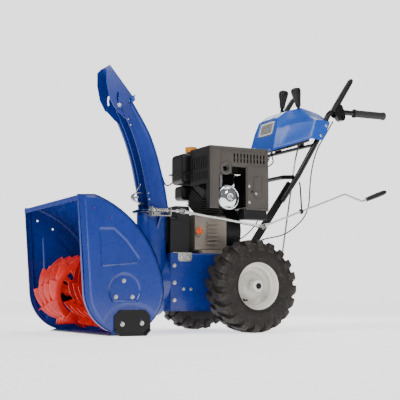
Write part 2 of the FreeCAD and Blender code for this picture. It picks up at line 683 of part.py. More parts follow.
def drive():
    """The friction drive: engine pulleys, drive disc, friction wheel, hexagonal shaft, chain."""
    disc = revolve([(-6, 0), (-6, 78), (0, 80), (4, 80), (4, 0)], V(0, -216, DISC_Z), Y)
    stub = rod(V(0, -284, DISC_Z), V(0, -215, DISC_Z), 8)
    save("drive_disc", fuse(disc, stub, pulley(V(0, -274, DISC_Z), 62, 7.9)))
    hexa = hexagon(V(-128, HEX_Y, DISC_Z), X, 19, 256)
    ends = rod(V(-146, HEX_Y, DISC_Z), V(146, HEX_Y, DISC_Z), 8)
    sprocket = gear(V(116, HEX_Y, DISC_Z), 24, 10, 5)
    save("hex_shaft", fuse(hexa, ends, sprocket))
    rim = [(-6, 16), (-6, 62.5), (-3, 66.5), (3, 66.5), (6, 62.5), (6, 16)]
    wheel = revolve(rim, V(0, HEX_Y, DISC_Z), X)
    sleeve = rod(V(-20, HEX_Y, DISC_Z), V(20, HEX_Y, DISC_Z), 20)
    wheel = wheel.fuse(sleeve).cut(hexagon(V(-30, HEX_Y, DISC_Z), X, 19.2, 60))
    save("friction_wheel", wheel.removeSplitter())
    inner = loop((HEX_Y, DISC_Z, 24.6), (0, WHEEL_R, 66.6))
    outer = loop((HEX_Y, DISC_Z, 30.0), (0, WHEEL_R, 72.0))
    chain = extrude_loop(outer, 112, 120).cut(extrude_loop(inner, 105, 125))
    save("drive_chain", chain)


def loop(small, large):
    """Tangent loop round two circles, each (y, z, r), as a list of corner data."""
    y0, z0, r0 = small
    y1, z1, r1 = large
    span = math.hypot(y1 - y0, z1 - z0)
    heading = math.atan2(z1 - z0, y1 - y0)
    tilt = math.acos((r0 - r1) / span)
    return y0, z0, r0, y1, z1, r1, heading, tilt


def extrude_loop(data, x0, x1):
    """A solid inside the loop, from x0 to x1, in the YZ plane."""
    y0, z0, r0, y1, z1, r1, heading, tilt = data
    point = lambda y, z, r, a: V(x0, y + r * math.cos(a), z + r * math.sin(a))
    a0, a1 = heading + tilt, heading - tilt
    edges = [
        Part.LineSegment(point(y0, z0, r0, a0), point(y1, z1, r1, a0)).toShape(),
        Part.Arc(point(y1, z1, r1, a0), point(y1, z1, r1, heading), point(y1, z1, r1, a1)).toShape(),
        Part.LineSegment(point(y1, z1, r1, a1), point(y0, z0, r0, a1)).toShape(),
        Part.Arc(
            point(y0, z0, r0, a1), point(y0, z0, r0, heading + math.pi), point(y0, z0, r0, a0)
        ).toShape(),
    ]
    return Part.Face(Part.Wire(edges)).extrude(V(x1 - x0, 0, 0))


def gear(centre, radius, teeth, width):
    """A sprocket or gear across X, with square teeth."""
    disc = rod(centre - X * (width / 2), centre + X * (width / 2), radius - 3)
    half = math.pi * radius / teeth / 2.4
    made = disc
    for i in range(teeth):
        tooth = box(-width / 2, width / 2, radius - 6, radius, -half, half)
        tooth.rotate(V(0, 0, 0), X, 360.0 * i / teeth)
        tooth.translate(centre)
        made = made.fuse(tooth)
    return made.removeSplitter()


def belt(y, low_z, low_r, top_z, top_r):
    """A vee belt round a lower and an upper pulley, in the XZ plane."""
    outer = extrude_loop(loop((top_z, 0, top_r + 6), (low_z, 0, low_r + 6)), -5, 5)
    inner = extrude_loop(loop((top_z, 0, top_r), (low_z, 0, low_r)), -8, 8)
    ring = outer.cut(inner)
    # drawn in YZ with Z standing for X; the turn puts it across the machine
    turn = FreeCAD.Placement()
    turn.Matrix = FreeCAD.Matrix(0, 0, 1, 0, 1, 0, 0, y, 0, 1, 0, 0, 0, 0, 0, 1)
    return ring.transformGeometry(turn.Matrix)


def belts():
    auger_belt = belt(-300, DRUM_Z, 73.5, CRANK_Z, 27.5)
    drive_belt = belt(-274, DISC_Z, 51.5, CRANK_Z, 27.5)
    save("drive_belts", auger_belt, drive_belt)
    shaft = rod(V(0, -316, CRANK_Z), V(0, -206, CRANK_Z), 12)
    front, rear = (pulley(V(0, y, CRANK_Z), 38, 11.9) for y in (-300, -274))
    save("engine_pulley", fuse(shaft, front, rear))


def idler(y):
    """A belt-tension arm with its roller, on its pivot."""
    pivot, roller = V(-112, y, 400), V(-96, y, 332)
    arm = slab(pivot, roller - pivot, V(8, 0, 2), V(0, 2, 0))
    return fuse(arm.fuse(rod(pivot - Y * 6, pivot + Y * 6, 10)), rod(roller - Y * 7, roller + Y * 7, 18))


def idlers():
    save("auger_idler", idler(-300))
    save("drive_idler", idler(-274))


def belt_cover():
    """The moulded cover over the belts, stepped down under the chute's ring."""
    low = box(-134, 140, -331, -238, CASE_TOP + 0.2, 506)
    high = box(-134, 140, -298, -238, CASE_TOP + 0.2, 556)
    shell = fuse(low, high)
    shell = rounded(shell, 18, lambda p, d: abs(d.y) > 0.9 and p.z > 500)
    low = box(-131, 137, -328, -230, CASE_TOP - 10, 503)
    high = box(-131, 137, -295, -230, CASE_TOP - 10, 553)
    hollow = fuse(low, high)
    hollow = rounded(hollow, 15, lambda p, d: abs(d.y) > 0.9 and p.z > 500)
    save("belt_cover", shell.cut(hollow))


# ---- wheels -------------------------------------------------------------------------------
def wheel():
    """Tyre and rim of the left wheel, across X."""
    inside = TRACK_HALF - TYRE_HALF_WIDTH
    outside = TRACK_HALF + TYRE_HALF_WIDTH
    axis = V(0, 0, WHEEL_R)
    tyre = [
        (inside + 18, BEAD_R), (inside + 4, 116), (inside, 150), (inside + 6, 182), (inside + 22, 199),
        (TRACK_HALF, WHEEL_R), (outside - 22, 199), (outside - 6, 182), (outside, 150),
        (outside - 4, 116), (outside - 18, BEAD_R), (outside - 30, BEAD_R), (outside - 16, 130),
        (outside - 16, 165), (outside - 30, 184), (TRACK_HALF, 188), (inside + 30, 184),
        (inside + 16, 165), (inside + 16, 130), (inside + 30, BEAD_R),
    ]
    tyre_solid = revolve(tyre, axis, X)
    seat, bore = BEAD_R - 0.3, SHAFT_R + 0.03
    rim = [
        (inside + 10, RIM_R), (inside + 14, RIM_R), (inside + 17.7, seat), (inside + 44, seat),
        (inside + 50, 86), (outside - 50, 86), (outside - 44, seat), (outside - 17.7, seat),
        (outside - 14, RIM_R), (outside - 10, RIM_R), (outside - 14, 97), (outside - 42, 97),
        (outside - 49, 83), (inside + 64, 83), (inside + 72, 50), (inside + 92, 24),
        (outside - 12, 24), (outside - 12, bore), (inside - 22, bore), (inside - 22, 24),
        (inside + 87, 24), (inside + 68, 49), (inside + 60, 83), (inside + 49, 83),
        (inside + 42, 97), (inside + 14, 97),
    ]
    rim_solid = revolve(rim, axis, X)
    return tyre_solid, rim_solid


def wheels():
    tyre, rim = wheel()
    centre = V(TRACK_HALF + TYRE_HALF_WIDTH - 20, 0, WHEEL_R)
    rim = rim.cut(rod(centre - Z * 60, centre + Z * 60, 3.6))
    save("tyres", tyre, mirror_x(tyre))
    save("rims", rim, mirror_x(rim))
    reach = TRACK_HALF + TYRE_HALF_WIDTH - 10
    axle = rod(V(-reach, 0, WHEEL_R), V(reach, 0, WHEEL_R), SHAFT_R)
    axle = axle.fuse(gear(V(116, 0, WHEEL_R), 66, 28, 5))
    pins = []
    for side in (-1, 1):
        centre = V(side * (TRACK_HALF + TYRE_HALF_WIDTH - 20), 0, WHEEL_R)
        axle = axle.cut(rod(centre - Z * 60, centre + Z * 60, 3.6))
        pins.append(rod(centre - Z * 32, centre + Z * 32, 3.5))
    save("axle", axle.removeSplitter())
    save("wheel_pins", *pins)


# ---- engine -------------------------------------------------------------------------------
def engine():
    body = rounded(box(-112, 128, -204, -44, CASE_TOP + 12, 522), 14, lambda p, d: abs(d.y) > 0.9)
    foot = box(-124, 146, -178, -62, CASE_TOP + 0.2, CASE_TOP + 16)
    nose = rod(V(0, -214, CRANK_Z), V(0, -200, CRANK_Z), 44)
    body = fuse(body, foot, nose).cut(rod(V(0, -220, CRANK_Z), V(0, -190, CRANK_Z), 12 + FIT))
    ribs = []
    for z in (392, 410, 428, 446, 464, 482):
        ribs.append(box(120, 150, -150, -96, z, z + 5))
    neck = rod(V(120, -188, 430), V(150, -194, 444), 14)
    body = body.fuse(Part.makeCompound(ribs)).fuse(neck)
    save("engine_crankcase", body.removeSplitter())
    fins = []
    for i in range(8):
        fins.append(box(-62, 62, -180, -62, i * 11, i * 11 + 4))
    core = box(-44, 44, -166, -76, -8, 96)
    head = rounded(box(-56, 56, -174, -68, 90, 126), 8, lambda p, d: p.z > 120)
    cylinder = fuse(core, head, *fins)
    cylinder.rotate(V(0, 0, 0), Y, 30)
    cylinder.translate(V(52, 0, 546))
    keep = box(-60, 225, -187, -40, 522.2, 780)
    save("engine_cylinder", cylinder.common(keep))
    blower = rod(V(0, -43.8, CRANK_Z), V(0, 34, CRANK_Z), 124)
    blower = blower.cut(box(-200, 200, -60, 60, 300, CASE_TOP + 3))
    cowl = block(-100, -8, -198, 34, 600, 668, 16)
    housing = fuse(blower, cowl, box(-90, 30, -38, 20, 560, 610))
    recoil = revolve([(33, 0), (33, 96), (52, 90), (66, 62), (70, 40), (70, 0)], V(0, 0, CRANK_Z), Y)
    mouth = rod(V(-58, 50, CRANK_Z + 52), V(-58, 80, CRANK_Z + 52), 9)
    tower = rod(V(-58, 34.2, CRANK_Z + 52), V(-58, 74, CRANK_Z + 52), 15)
    save("blower_housing", fuse(housing, recoil, tower).cut(mouth))
    handle = fuse(block(-84, -32, 80, 96, CRANK_Z + 42, CRANK_Z + 62, 6),
                  rod(V(-58, 54, CRANK_Z + 52), V(-58, 82, CRANK_Z + 52), 4))
    save("recoil_handle", handle)
    out = V(30, -6, 14).normalize()
    seat = V(150, -194, 444) + out * 0.4
    cap = fuse(rod(seat, seat + out * 8, 15), slab(seat + out * 8, out * 12, V(0, 3, 0), V(0, 0, 13)))
    save("oil_cap", cap)


def tank():
    """The fuel tank behind the engine cover: two pressed halves joined at a flange, and a filler."""
    body = block(-92, 36, -219, 60, 672, 811, 20)
    flange = box(-104, 40, -227, 68, 718, 723)
    flange = rounded(flange, 14, lambda p, d: abs(d.z) > 0.9)
    x, y = FILLER
    neck = rod(V(x, y, 800), V(x, y, 827), 20)
    save("fuel_tank", fuse(body, flange, neck))
    skirt = tube(V(x, y, 823), V(x, y, 847), 27, 20.4)
    lid = rod(V(x, y, 827.4), V(x, y, 848), 27)
    save("fuel_cap", fuse(skirt, lid))


def shroud():
    """The moulded cover over the cylinder side of the engine."""
    x0, x1, y0, y1, z0, z1 = SHROUD
    outer = box(x0, x1, y0, y1, z0, z1)
    outer = rounded(outer, 7, lambda p, d: p.x > x1 - 1 or p.z > z1 - 1)
    hollow = box(x0 - 10, x1 - SHEET, y0 + SHEET, y1 - SHEET, z0 - 10, z1 - SHEET)
    whole = outer.cut(hollow)
    wall = box(x0, x0 + SHEET, y0 + 1, y1 - 1, 724, z1 - 1)
    whole = whole.fuse(wall)
    window = box(x1 - 20, x1 + 20, -141, -3, z0 - 10, 700)
    raised = box(x1 - 20, x1 + 20, -76, -3, 690, 732)
    whole = whole.cut(window).cut(raised)
    boss = rod(V(x1 - 12, -106, 722), V(x1 + 3, -106, 722), 27)
    whole = whole.fuse(boss).cut(rod(V(x1 - 30, -106, 722), V(x1 + 30, -106, 722), 16))
    slots = []
    for i in range(10):
        y = -66 + i * 17.0
        slots.append(box(x1 - 20, x1 + 20, y, y + 8, 752, 792))
    for i in range(9):
        x = x0 + 22 + i * 17.0
        slots.append(box(x, x + 7, y0 - 10, y0 + 10, 722, 780))
        slots.append(box(x, x + 7, y0 - 10, y0 + 10, 674, 712))
    whole = whole.cut(Part.makeCompound(slots))
    panel = rounded(box(x1 - 0.1, x1 + 4, 2, 112, 552, 738), 6, lambda p, d: abs(d.x) > 0.9)
    groove = box(x1 + 2.5, x1 + 6, 33, 79, 595, 695).cut(box(x1, x1 + 9, 36, 76, 598, 692))
    vent = rod(V(x1 - 20, 26, 624), V(x1 + 20, 26, 624), 5)
    whole = whole.fuse(panel).cut(groove).cut(vent)
    whole = whole.cut(box(x0 - 10, x1 - 30, y0 - 10, y0 + 10, z0 - 10, 655))
    save("engine_shroud", whole.removeSplitter())


def muffler():
    centre = V(206, -79, 596)
    disc = revolve([(0, 0), (0, 54), (10, 56), (18, 50), (22, 38), (22, 0)], centre, X)
    can = rod(V(168, -79, 596), centre, 46)
    pipe = rod(V(184, -106, 636), V(184, -106, 722), 11)
    elbow = rod(V(172, -106, 722), V(228, -106, 722), 15)
    can = fuse(can, pipe, elbow)
    save("muffler", can, disc)
    bowl = revolve([(0, 0), (0, 20), (26, 24), (60, 24), (60, 0)], V(196, 44, 512), Z)
    body = block(168, 224, 20, 90, 572, 640, 8)
    air_box = fuse(block(8, 166, 38, 110, 560, 655, 10), block(48, 166, 38, 110, 560, 716, 10))
    catch_box = fuse(block(170, 228, -8, 111, 500, 551, 6), box(186, 206, 34, 54, 545, 575))
    save("carburettor", fuse(bowl, body, air_box, catch_box, box(160, 172, 50, 80, 585, 620)))


def ignition_key():
    """The red safety key at the back of the engine cover."""
    hub = V(190, 117.2, 612)
    save("ignition_key", fuse(rod(hub, hub + Y * 8, 6), block(184, 196, 124, 140, 598, 626, 3)))


# ---- handles ------------------------------------------------------------------------------
ARM_LOW = V(ARM_X, 5, 305)
ARM_MID = V(ARM_X, 262, 668)


def lower_arm():
    """A lower handle arm: rectangular tube, cranked flat at its foot."""
    along = (ARM_MID - ARM_LOW).normalize()
    across = X.cross(along)
    outer = slab(ARM_LOW - along * 14, ARM_MID - ARM_LOW + along * 30, X * 9, across * 15)
    inner = slab(ARM_LOW + along * 60, ARM_MID - ARM_LOW, X * 7, across * 13)
    arm = outer.cut(inner)
    spacer = rod(V(CASE_HALF + 0.1, ARM_LOW.y, ARM_LOW.z), V(ARM_X, ARM_LOW.y, ARM_LOW.z), 12)
    return fuse(arm, spacer)


UPPER_PATH = [V(196, 210, 594), V(212, 292, 718), V(240, 376, 877), V(248, 448, 1026), V(GRIP_X, 762, 1029)]


def upper_arm():
    """An upper handle tube from the lower arm past the panel to the grip."""
    return bar(UPPER_PATH, [120, 160, 45], SHAFT_R)


def handles():
    lower, upper = lower_arm(), upper_arm()
    save("lower_handles", lower, mirror_x(lower))
    save("upper_handles", upper, mirror_x(upper))
    brace = bar([V(-202, 270, 708), V(-150, 248, 712), V(150, 248, 712), V(202, 270, 708)], [30, 30], 10)
    brace = brace.cut(upper).cut(mirror_x(upper))
    hook_top = V(228, 284, 668)
    hook_eye = V(280, 260, 541.6)
    hook = bar([V(207, 300, 684), hook_top + V(0, 6, 0), hook_eye + V(0, 2, 12)], [12], 3.5)
    eye_axis = (CRANK_BEND - JOINT_B).normalize()
    centre = JOINT_B + eye_axis * ((260 - JOINT_B.y) / eye_axis.y)
    eye = tube(centre - eye_axis * 4, centre + eye_axis * 4, 12, 6.5)
    hook = hook.fuse(eye).cut(tube(centre - eye_axis * 20, centre + eye_axis * 20, 6.5, 0.5)).cut(upper)
    hook = hook.cut(rod(centre - eye_axis * 20, centre + eye_axis * 20, 6.5))
    end = UPPER_PATH[-1]
    along = (end - UPPER_PATH[-2]).normalize()
    start = end - along * GRIP_LENGTH
    grip = rod(start, end + along * 4, 17).cut(rod(start - along * 5, end, SHAFT_R + 0.02))
    save("handle_grips", grip, mirror_x(grip))
    support = max(hook.Solids, key=lambda s: s.Volume)
    bracket = lever_bracket()
    save("handle_brackets", brace, support, bracket, mirror_x(bracket), panel_bracket())


def clutch_lever():
    """A clutch lever: two cheeks astride the handle tube, and a blade above the grip."""
    py, pz = LEVER_PIVOT
    along = V(0, 0.553, 0.833)
    normal = V(0, -0.833, 0.553)
    low = V(GRIP_X, 436, 982) + along * 74
    tip = V(GRIP_X, 436, 982) + along * 250
    blade = slab(low, tip - low, X * 14, normal * 3)
    blade = rounded(blade, 9, lambda p, d: abs(d.dot(normal)) > 0.9 and p.z > 1150)
    cheeks = []
    low_y, low_z = low.y, low.z
    for x0 in (GRIP_X - 19, GRIP_X + 16):
        outline = [
            (py - 12, pz - 10), (py + 10, pz - 12), (py + 13, pz + 6), (low_y + 34, low_z + 44),
            (low_y + 26, low_z + 46), (low_y - 6, low_z - 4), (low_y - 20, low_z - 24),
            (low_y - 14, low_z - 38),
        ]
        cheeks.append(prism_x(outline, x0, x0 + 3))
    bridge = slab(low, along * 60, X * 19, normal * 3)
    lever = fuse(blade, bridge, *cheeks)
    return lever.cut(rod(V(200, py, pz), V(300, py, pz), 4.1))


def lever_bracket():
    """The pivot bracket under the handle tube, with its bolt."""
    py, pz = LEVER_PIVOT
    outline = [(py - 28, 1014), (py + 18, 1014.4), (py + 10, pz - 12), (py - 12, pz - 12), (py - 30, 1000)]
    plate = prism_x(outline, GRIP_X - 10, GRIP_X + 10)
    pin = rod(V(GRIP_X - 24, py, pz), V(GRIP_X + 24, py, pz), 4)
    return fuse(plate, pin, hexagon(V(GRIP_X + 19.5, py, pz), X, 13, 5)).cut(upper_arm())


def levers():
    lever = clutch_lever()
    save("clutch_lever_left", lever)
    save("clutch_lever_right", mirror_x(lever))


def control(lean, top):
    """A lever on the panel, leaning from the vertical: stick, knob, pivot boss and lower arm."""
    stick = box(-2, 2, -8, 8, 0, top - 64)
    sections = []
    for height, half_x, half_y in ((top - 90, 9, 11), (top - 34, 15, 17), (top, 13, 15)):
        sections.append([(-half_x, -half_y, height), (half_x, -half_y, height), (half_x, half_y, height),
                         (-half_x, half_y, height)])
    knob = loft(sections)
    boss = rod(V(-7, 0, 0), V(7, 0, 0), 10)
    lower = box(-2, 2, -6, 6, -38, 0)
    whole = fuse(stick, knob, boss, lower).cut(rod(V(-20, 0, 0), V(20, 0, 0), 4.1))
    whole.rotate(V(0, 0, 0), X, lean)
    return whole


def loft(sections):
    """A solid through sections of the same number of corners, with flat sides."""
    wires = [Part.makePolygon([V(*p) for p in s + s[:1]]) for s in sections]
    return Part.makeLoft(wires, True, True)


def controls():
    py, pz = CONTROL_PIVOT
    for name, side, lean, top in (("deflector_lever", -1, -8, 230), ("gear_lever", 1, 9, 200)):
        lever = control(lean, top)
        lever.translate(V(side * CONTROL_X, py, pz))
        save(name, lever)


# the panel cover's stations, front to back: Y at the low edge, lean of the station's plane, and
# the half width and height of its low edge, shoulder and top
PANEL_STATIONS = [
    (215.0, 0.280, ((108, 842), (102, 950), (84, 1006))),
    (252.0, 0.320, ((160, 856), (146, 968), (92, 1042))),
    (328.0, 0.322, ((266, 885), (266, 972), (104, 1062))),
    (393.0, 0.467, ((266, 880), (266, 970), (116, 1040))),
]
PANEL_TILT = -15.6         # degrees, lean of the panel's front face
LAMP = V(0, 251, 963)      # middle of the headlight's window


def panel_loft(stations):
    """The solid through the stations, each mirrored across the machine."""
    sections = []
    for low_y, lean, corners in stations:
        low_z = corners[0][1]
        left = [(x, low_y + lean * (z - low_z), z) for x, z in corners]
        sections.append(left + [(-x, y, z) for x, y, z in reversed(left)])
    return loft(sections)


def hollow_station(station, back):
    """A station of the cover's inside: a sheet's thickness in, and well below the open bottom."""
    low_y, lean, (low, shoulder, top) = station
    drop = 14
    corners = ((low[0] - SHEET, low[1] - drop), (shoulder[0] - SHEET, shoulder[1] - SHEET / 2),
               (top[0] - SHEET, top[1] - SHEET))
    return low_y - lean * drop + back, lean, corners


def tilted(shape):
    """A shape turned with the panel's front face, about the headlight's middle."""
    shape.rotate(LAMP, X, PANEL_TILT)
    return shape


def control_panel():
    """The panel cover between the handles, open below and behind."""
    first, *middle, last = PANEL_STATIONS
    inner = [hollow_station(first, SHEET)] + [hollow_station(m, 0) for m in middle]
    inner += [hollow_station(last, 0), hollow_station(last, 30)]
    whole = panel_loft(PANEL_STATIONS).cut(panel_loft(inner))
    py = CONTROL_PIVOT[0]
    for side in (-1, 1):
        x = side * CONTROL_X
        whole = whole.cut(box(x - 6, x + 6, py - 84, py + 62, 990, 1100))
    arm = bar(UPPER_PATH, [120, 160, 45], SHAFT_R + 0.6)
    whole = whole.cut(arm).cut(mirror_x(arm))
    lamp_z = LAMP.z
    whole = whole.cut(tilted(box(-60.5, 60.5, LAMP.y - 20, LAMP.y + 12, lamp_z - 35, lamp_z + 35)))
    whole = max(whole.Solids, key=lambda solid: solid.Volume)
    save("control_panel", whole)
    lens = box(-59.5, 59.5, LAMP.y, LAMP.y + 8, lamp_z - 34, lamp_z + 34)
    lens = rounded(lens, 5, lambda p, d: abs(d.y) > 0.9)
    flange = box(-66, 66, LAMP.y + 4, LAMP.y + 7, lamp_z - 41, lamp_z + 39)
    bowl = box(-54, 54, LAMP.y + 7, LAMP.y + 28, lamp_z - 30, lamp_z + 30)
    save("headlight", tilted(fuse(lens, flange, bowl)))


def panel_bracket():
    """Under the panel: a cross tube between the arms, and the plates that carry the levers."""
    py, pz = CONTROL_PIVOT
    cross = bar([V(-238, 370, 862), V(-150, 378, 866), V(150, 378, 866), V(238, 370, 862)], [60, 60], 8)
    cross = cross.cut(upper_arm()).cut(mirror_x(upper_arm()))
    whole = max(cross.Solids, key=lambda s: s.Volume)
    for side in (-1, 1):
        for offset in (-16, 12):
            x = side * CONTROL_X + offset
            plate = prism_x([(370, 862), (388, 862), (400, pz + 10), (374, pz + 10)], x, x + 4)
            whole = whole.fuse(plate)
        spindle = rod(V(side * CONTROL_X - 20, py, pz), V(side * CONTROL_X + 20, py, pz), 4)
        whole = whole.fuse(spindle)
    return whole.removeSplitter()


def shift_rod():
    """The rod from the gear lever down to the transmission."""
    points = [V(CONTROL_X + 7, 376, 916), V(CONTROL_X + 4, 345, 800), V(CONTROL_X, 262, 300),
              V(CONTROL_X, 205, 262), V(CONTROL_X, 70, SHIFT_ROD_Z)]
    save("shift_rod", bar(points, [200, 40, 60], 4))


# ---- cables and fasteners -----------------------------------------------------------------
def cables():
    left = [V(246, 468, 980), V(240, 448, 945), V(230, 424, 900), V(221, 402, 862), V(216, 385, 820),
            V(214, 371, 772), V(213, 361, 722), V(214, 354, 672), V(216, 350, 622), V(216, 345, 578),
            V(215, 331, 540), V(213, 306, 505), V(210, 272, 476), V(205, 236, 450), V(198, 203, 435),
            V(186, 168, 427), V(171, 138, 421), V(152, 112, 410), V(140, 92, 384), V(136, 80, 349)]
    right = [V(-p.x, p.y, p.z) for p in left]
    route = [V(-100, 352, 905), V(-92, 340, 872), V(-70, 325, 842), V(-30, 306, 820), V(15, 280, 800),
             V(40, 235, 772), V(44, 180, 760), V(43, 120, 752), V(43, 60, 747), V(42, 0, 743),
             V(43, -60, 740), V(44, -120, 735), V(43, -180, 724), V(53, -225, 706), V(68, -262, 686)]
    save("control_cables", *(cable(points, CABLE_R) for points in (left, right, route)))
    riser = [V(84, -296, 662), V(88, -316, 646), V(91, -334, 650), V(92, -346, 676), V(92, -358, 716),
             V(91, -371, 757), V(90, -386, 800), V(90, -404, 845), V(90, -424, 888), V(90, -450, 931),
             V(90, -477, 973), V(90, -497, 1003)]
    save("chute_cable", cable(riser, CABLE_R))


def bolts():
    heads = []
    for side in (-1, 1):
        out = X * side
        wall = side * BUCKET_HALF
        for y, z in BEARING_BOLTS:
            heads.append(bolt(V(wall, y, z), out, 12))
        for y, z in SKID_BOLTS:
            heads.append(bolt(V(wall + side * 5.3, y, z + 2), out, 13))
    for side in (-1, 1):
        out = X * side
        wall = side * CASE_HALF
        for z in (142, 217, 292):
            heads.append(bolt(V(wall, -316, z), out, 12))
        for y, z in ((-271, 190), (-235, 190)):
            heads.append(bolt(V(wall, y, z), out, 10))
        heads.append(bolt(V(side * (ARM_X + 9), ARM_LOW.y, ARM_LOW.z), out, 13))
    save("hex_bolts", *heads)


def main():
    os.makedirs("parts", exist_ok=True)
    bucket()
    skids()
    auger_bearings()
    auger()
    gearbox()
    impeller()
    drum()
    chute()
    deflector()
    worm()
    steering_rods()
    case()
    drive()
    belts()
    idlers()
    belt_cover()
    wheels()
    engine()
    tank()
    shroud()
    muffler()
    ignition_key()
    handles()
    levers()
    controls()
    control_panel()
    shift_rod()
    cables()
    bolts()
    print(len(saved), "nodes")


main()
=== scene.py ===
"""The looks of a two-stage snowblower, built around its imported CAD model."""

import json
import math

import bpy
import bmesh
import numpy as np
from mathutils import Matrix, Vector


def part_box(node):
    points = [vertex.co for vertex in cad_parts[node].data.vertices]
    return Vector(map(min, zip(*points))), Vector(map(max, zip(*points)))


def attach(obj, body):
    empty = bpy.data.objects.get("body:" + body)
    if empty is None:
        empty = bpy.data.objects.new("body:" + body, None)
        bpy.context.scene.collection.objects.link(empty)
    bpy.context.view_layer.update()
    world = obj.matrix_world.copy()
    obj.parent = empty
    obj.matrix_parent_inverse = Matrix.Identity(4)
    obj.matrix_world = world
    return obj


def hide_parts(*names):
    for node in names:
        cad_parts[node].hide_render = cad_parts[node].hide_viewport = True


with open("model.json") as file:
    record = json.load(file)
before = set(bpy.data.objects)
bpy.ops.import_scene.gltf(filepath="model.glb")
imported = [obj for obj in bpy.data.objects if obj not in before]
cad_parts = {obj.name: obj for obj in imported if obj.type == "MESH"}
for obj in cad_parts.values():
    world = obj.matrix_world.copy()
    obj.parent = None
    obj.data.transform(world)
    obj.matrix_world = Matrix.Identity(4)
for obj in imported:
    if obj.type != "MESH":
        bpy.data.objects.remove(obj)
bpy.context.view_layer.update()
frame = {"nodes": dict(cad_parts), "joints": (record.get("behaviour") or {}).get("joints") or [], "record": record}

MM = 0.001
JOINTS = {j["name"]: Vector(j["pos_m"]) for j in frame["joints"] if "pos_m" in j}
AXLE_Y = JOINTS["axle_spin"].y        # pieces below are drawn in millimetres, Y from the axle
AXLE_Z = JOINTS["axle_spin"].z / MM


# ---- mesh helpers -------------------------------------------------------------------------
def corners(name):
    """A CAD node's box in millimetres, with Y from the axle."""
    low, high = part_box(name)
    shift = Vector((0, AXLE_Y, 0))
    return (low - shift) / MM, (high - shift) / MM


def joint_place(name):
    """Where a joint is, in millimetres, with Y from the axle."""
    return (JOINTS[name] - Vector((0, AXLE_Y, 0))) / MM


class Shape:
    """Points and faces in millimetres, gathered before they become one piece."""

    def __init__(self):
        self.points = []
        self.faces = []

    def add(self, points, faces):
        start = len(self.points)
        self.points += [tuple(float(c) for c in p) for p in points]
        self.faces += [tuple(start + i for i in f) for f in faces]
        return self

    def turned(self, matrix):
        self.points = [tuple(matrix @ Vector(p)) for p in self.points]
        return self

    def mirrored(self):
        """The same shape on the other side of the machine."""
        other = Shape()
        other.points = [(-x, y, z) for x, y, z in self.points]
        other.faces = [tuple(reversed(f)) for f in self.faces]
        return other

    def joined(self, *others):
        for o in others:
            self.add(o.points, o.faces)
        return self


def grid_faces(rows, columns, wrap_rows=False, wrap_columns=False):
    faces = []
    for i in range(rows if wrap_rows else rows - 1):
        for k in range(columns if wrap_columns else columns - 1):
            a, b = i * columns + k, i * columns + (k + 1) % columns
            c, d = ((i + 1) % rows) * columns + (k + 1) % columns, ((i + 1) % rows) * columns + k
            faces.append((a, b, c, d))
    return faces


def loft(rings, capped=True, closed=False):
    """A skin through rings of the same number of points."""
    n = len(rings[0])
    points = [p for ring in rings for p in ring]
    faces = grid_faces(len(rings), n, wrap_rows=closed, wrap_columns=True)
    if capped and not closed:
        last = (len(rings) - 1) * n
        faces.append(tuple(range(n - 1, -1, -1)))
        faces.append(tuple(last + i for i in range(n)))
    return Shape().add(points, faces)


def skin(rows, wrap_rows=False, wrap_columns=False):
    """A sheet through rows of the same number of points."""
    faces = grid_faces(len(rows), len(rows[0]), wrap_rows, wrap_columns)
    return Shape().add([p for row in rows for p in row], faces)


def box(x0, x1, y0, y1, z0, z1):
    low = [(x0, y0, z0), (x1, y0, z0), (x1, y1, z0), (x0, y1, z0)]
    return loft([low, [(x, y, z1) for x, y, _ in low]])


def prism_x(outline, x0, x1):
    """A plate with a (y, z) outline, from x0 to x1."""
    return loft([[(x, y, z) for y, z in outline] for x in (x0, x1)])


def frame_of(axis):
    axis = Vector(axis).normalized()
    side = axis.cross(Vector((0, 0, 1)) if abs(axis.z) < 0.9 else Vector((1, 0, 0))).normalized()
    return axis, side, axis.cross(side)


def lathe(profile, origin, axis, count=48):
    """(along, radius) points turned round an axis; radius 0 at an end closes it to a point."""
    axis, side, up = frame_of(axis)
    origin = Vector(origin)
    rings = []
    for along, radius in profile:
        ring = []
        for i in range(count):
            a = 2 * math.pi * i / count
            ring.append(origin + axis * along + (side * math.cos(a) + up * math.sin(a)) * max(radius, 0.02))
        rings.append(ring)
    return loft(rings)


def lathe_loop(profile, origin, axis, count=64):
    """A closed (along, radius) outline turned round an axis, such as a ring."""
    shape = lathe(profile, origin, axis, count)
    shape.faces = grid_faces(len(profile), count, wrap_rows=True, wrap_columns=True)
    return shape


def sweep(path, section, up=(0, 0, 1)):
    """A closed section of (side, up) points carried along a path of points."""
    path = [Vector(p) for p in path]
    reference = Vector(up)
    rings = []
    for i, p in enumerate(path):
        ahead = path[min(i + 1, len(path) - 1)] - path[max(i - 1, 0)]
        ahead.normalize()
        side = ahead.cross(reference).normalized()
        reference = side.cross(ahead)
        points = section(i / (len(path) - 1)) if callable(section) else section
        rings.append([p + side * s + reference * u for s, u in points])
    return loft(rings)


def circle(radius, count=20):
    turns = [2 * math.pi * i / count for i in range(count)]
    return [(radius * math.cos(a), radius * math.sin(a)) for a in turns]


def rounded_rectangle(width, height, radius, steps=5):
    """Corner-rounded rectangle about the origin, as (side, up) points."""
    points = []
    for cx, cy, start in ((1, 1, 0), (-1, 1, 90), (-1, -1, 180), (1, -1, 270)):
        for i in range(steps + 1):
            a = math.radians(start + 90 * i / steps)
            points.append((
                cx * (width / 2 - radius) + radius * math.cos(a),
                cy * (height / 2 - radius) + radius * math.sin(a),
            ))
    return points


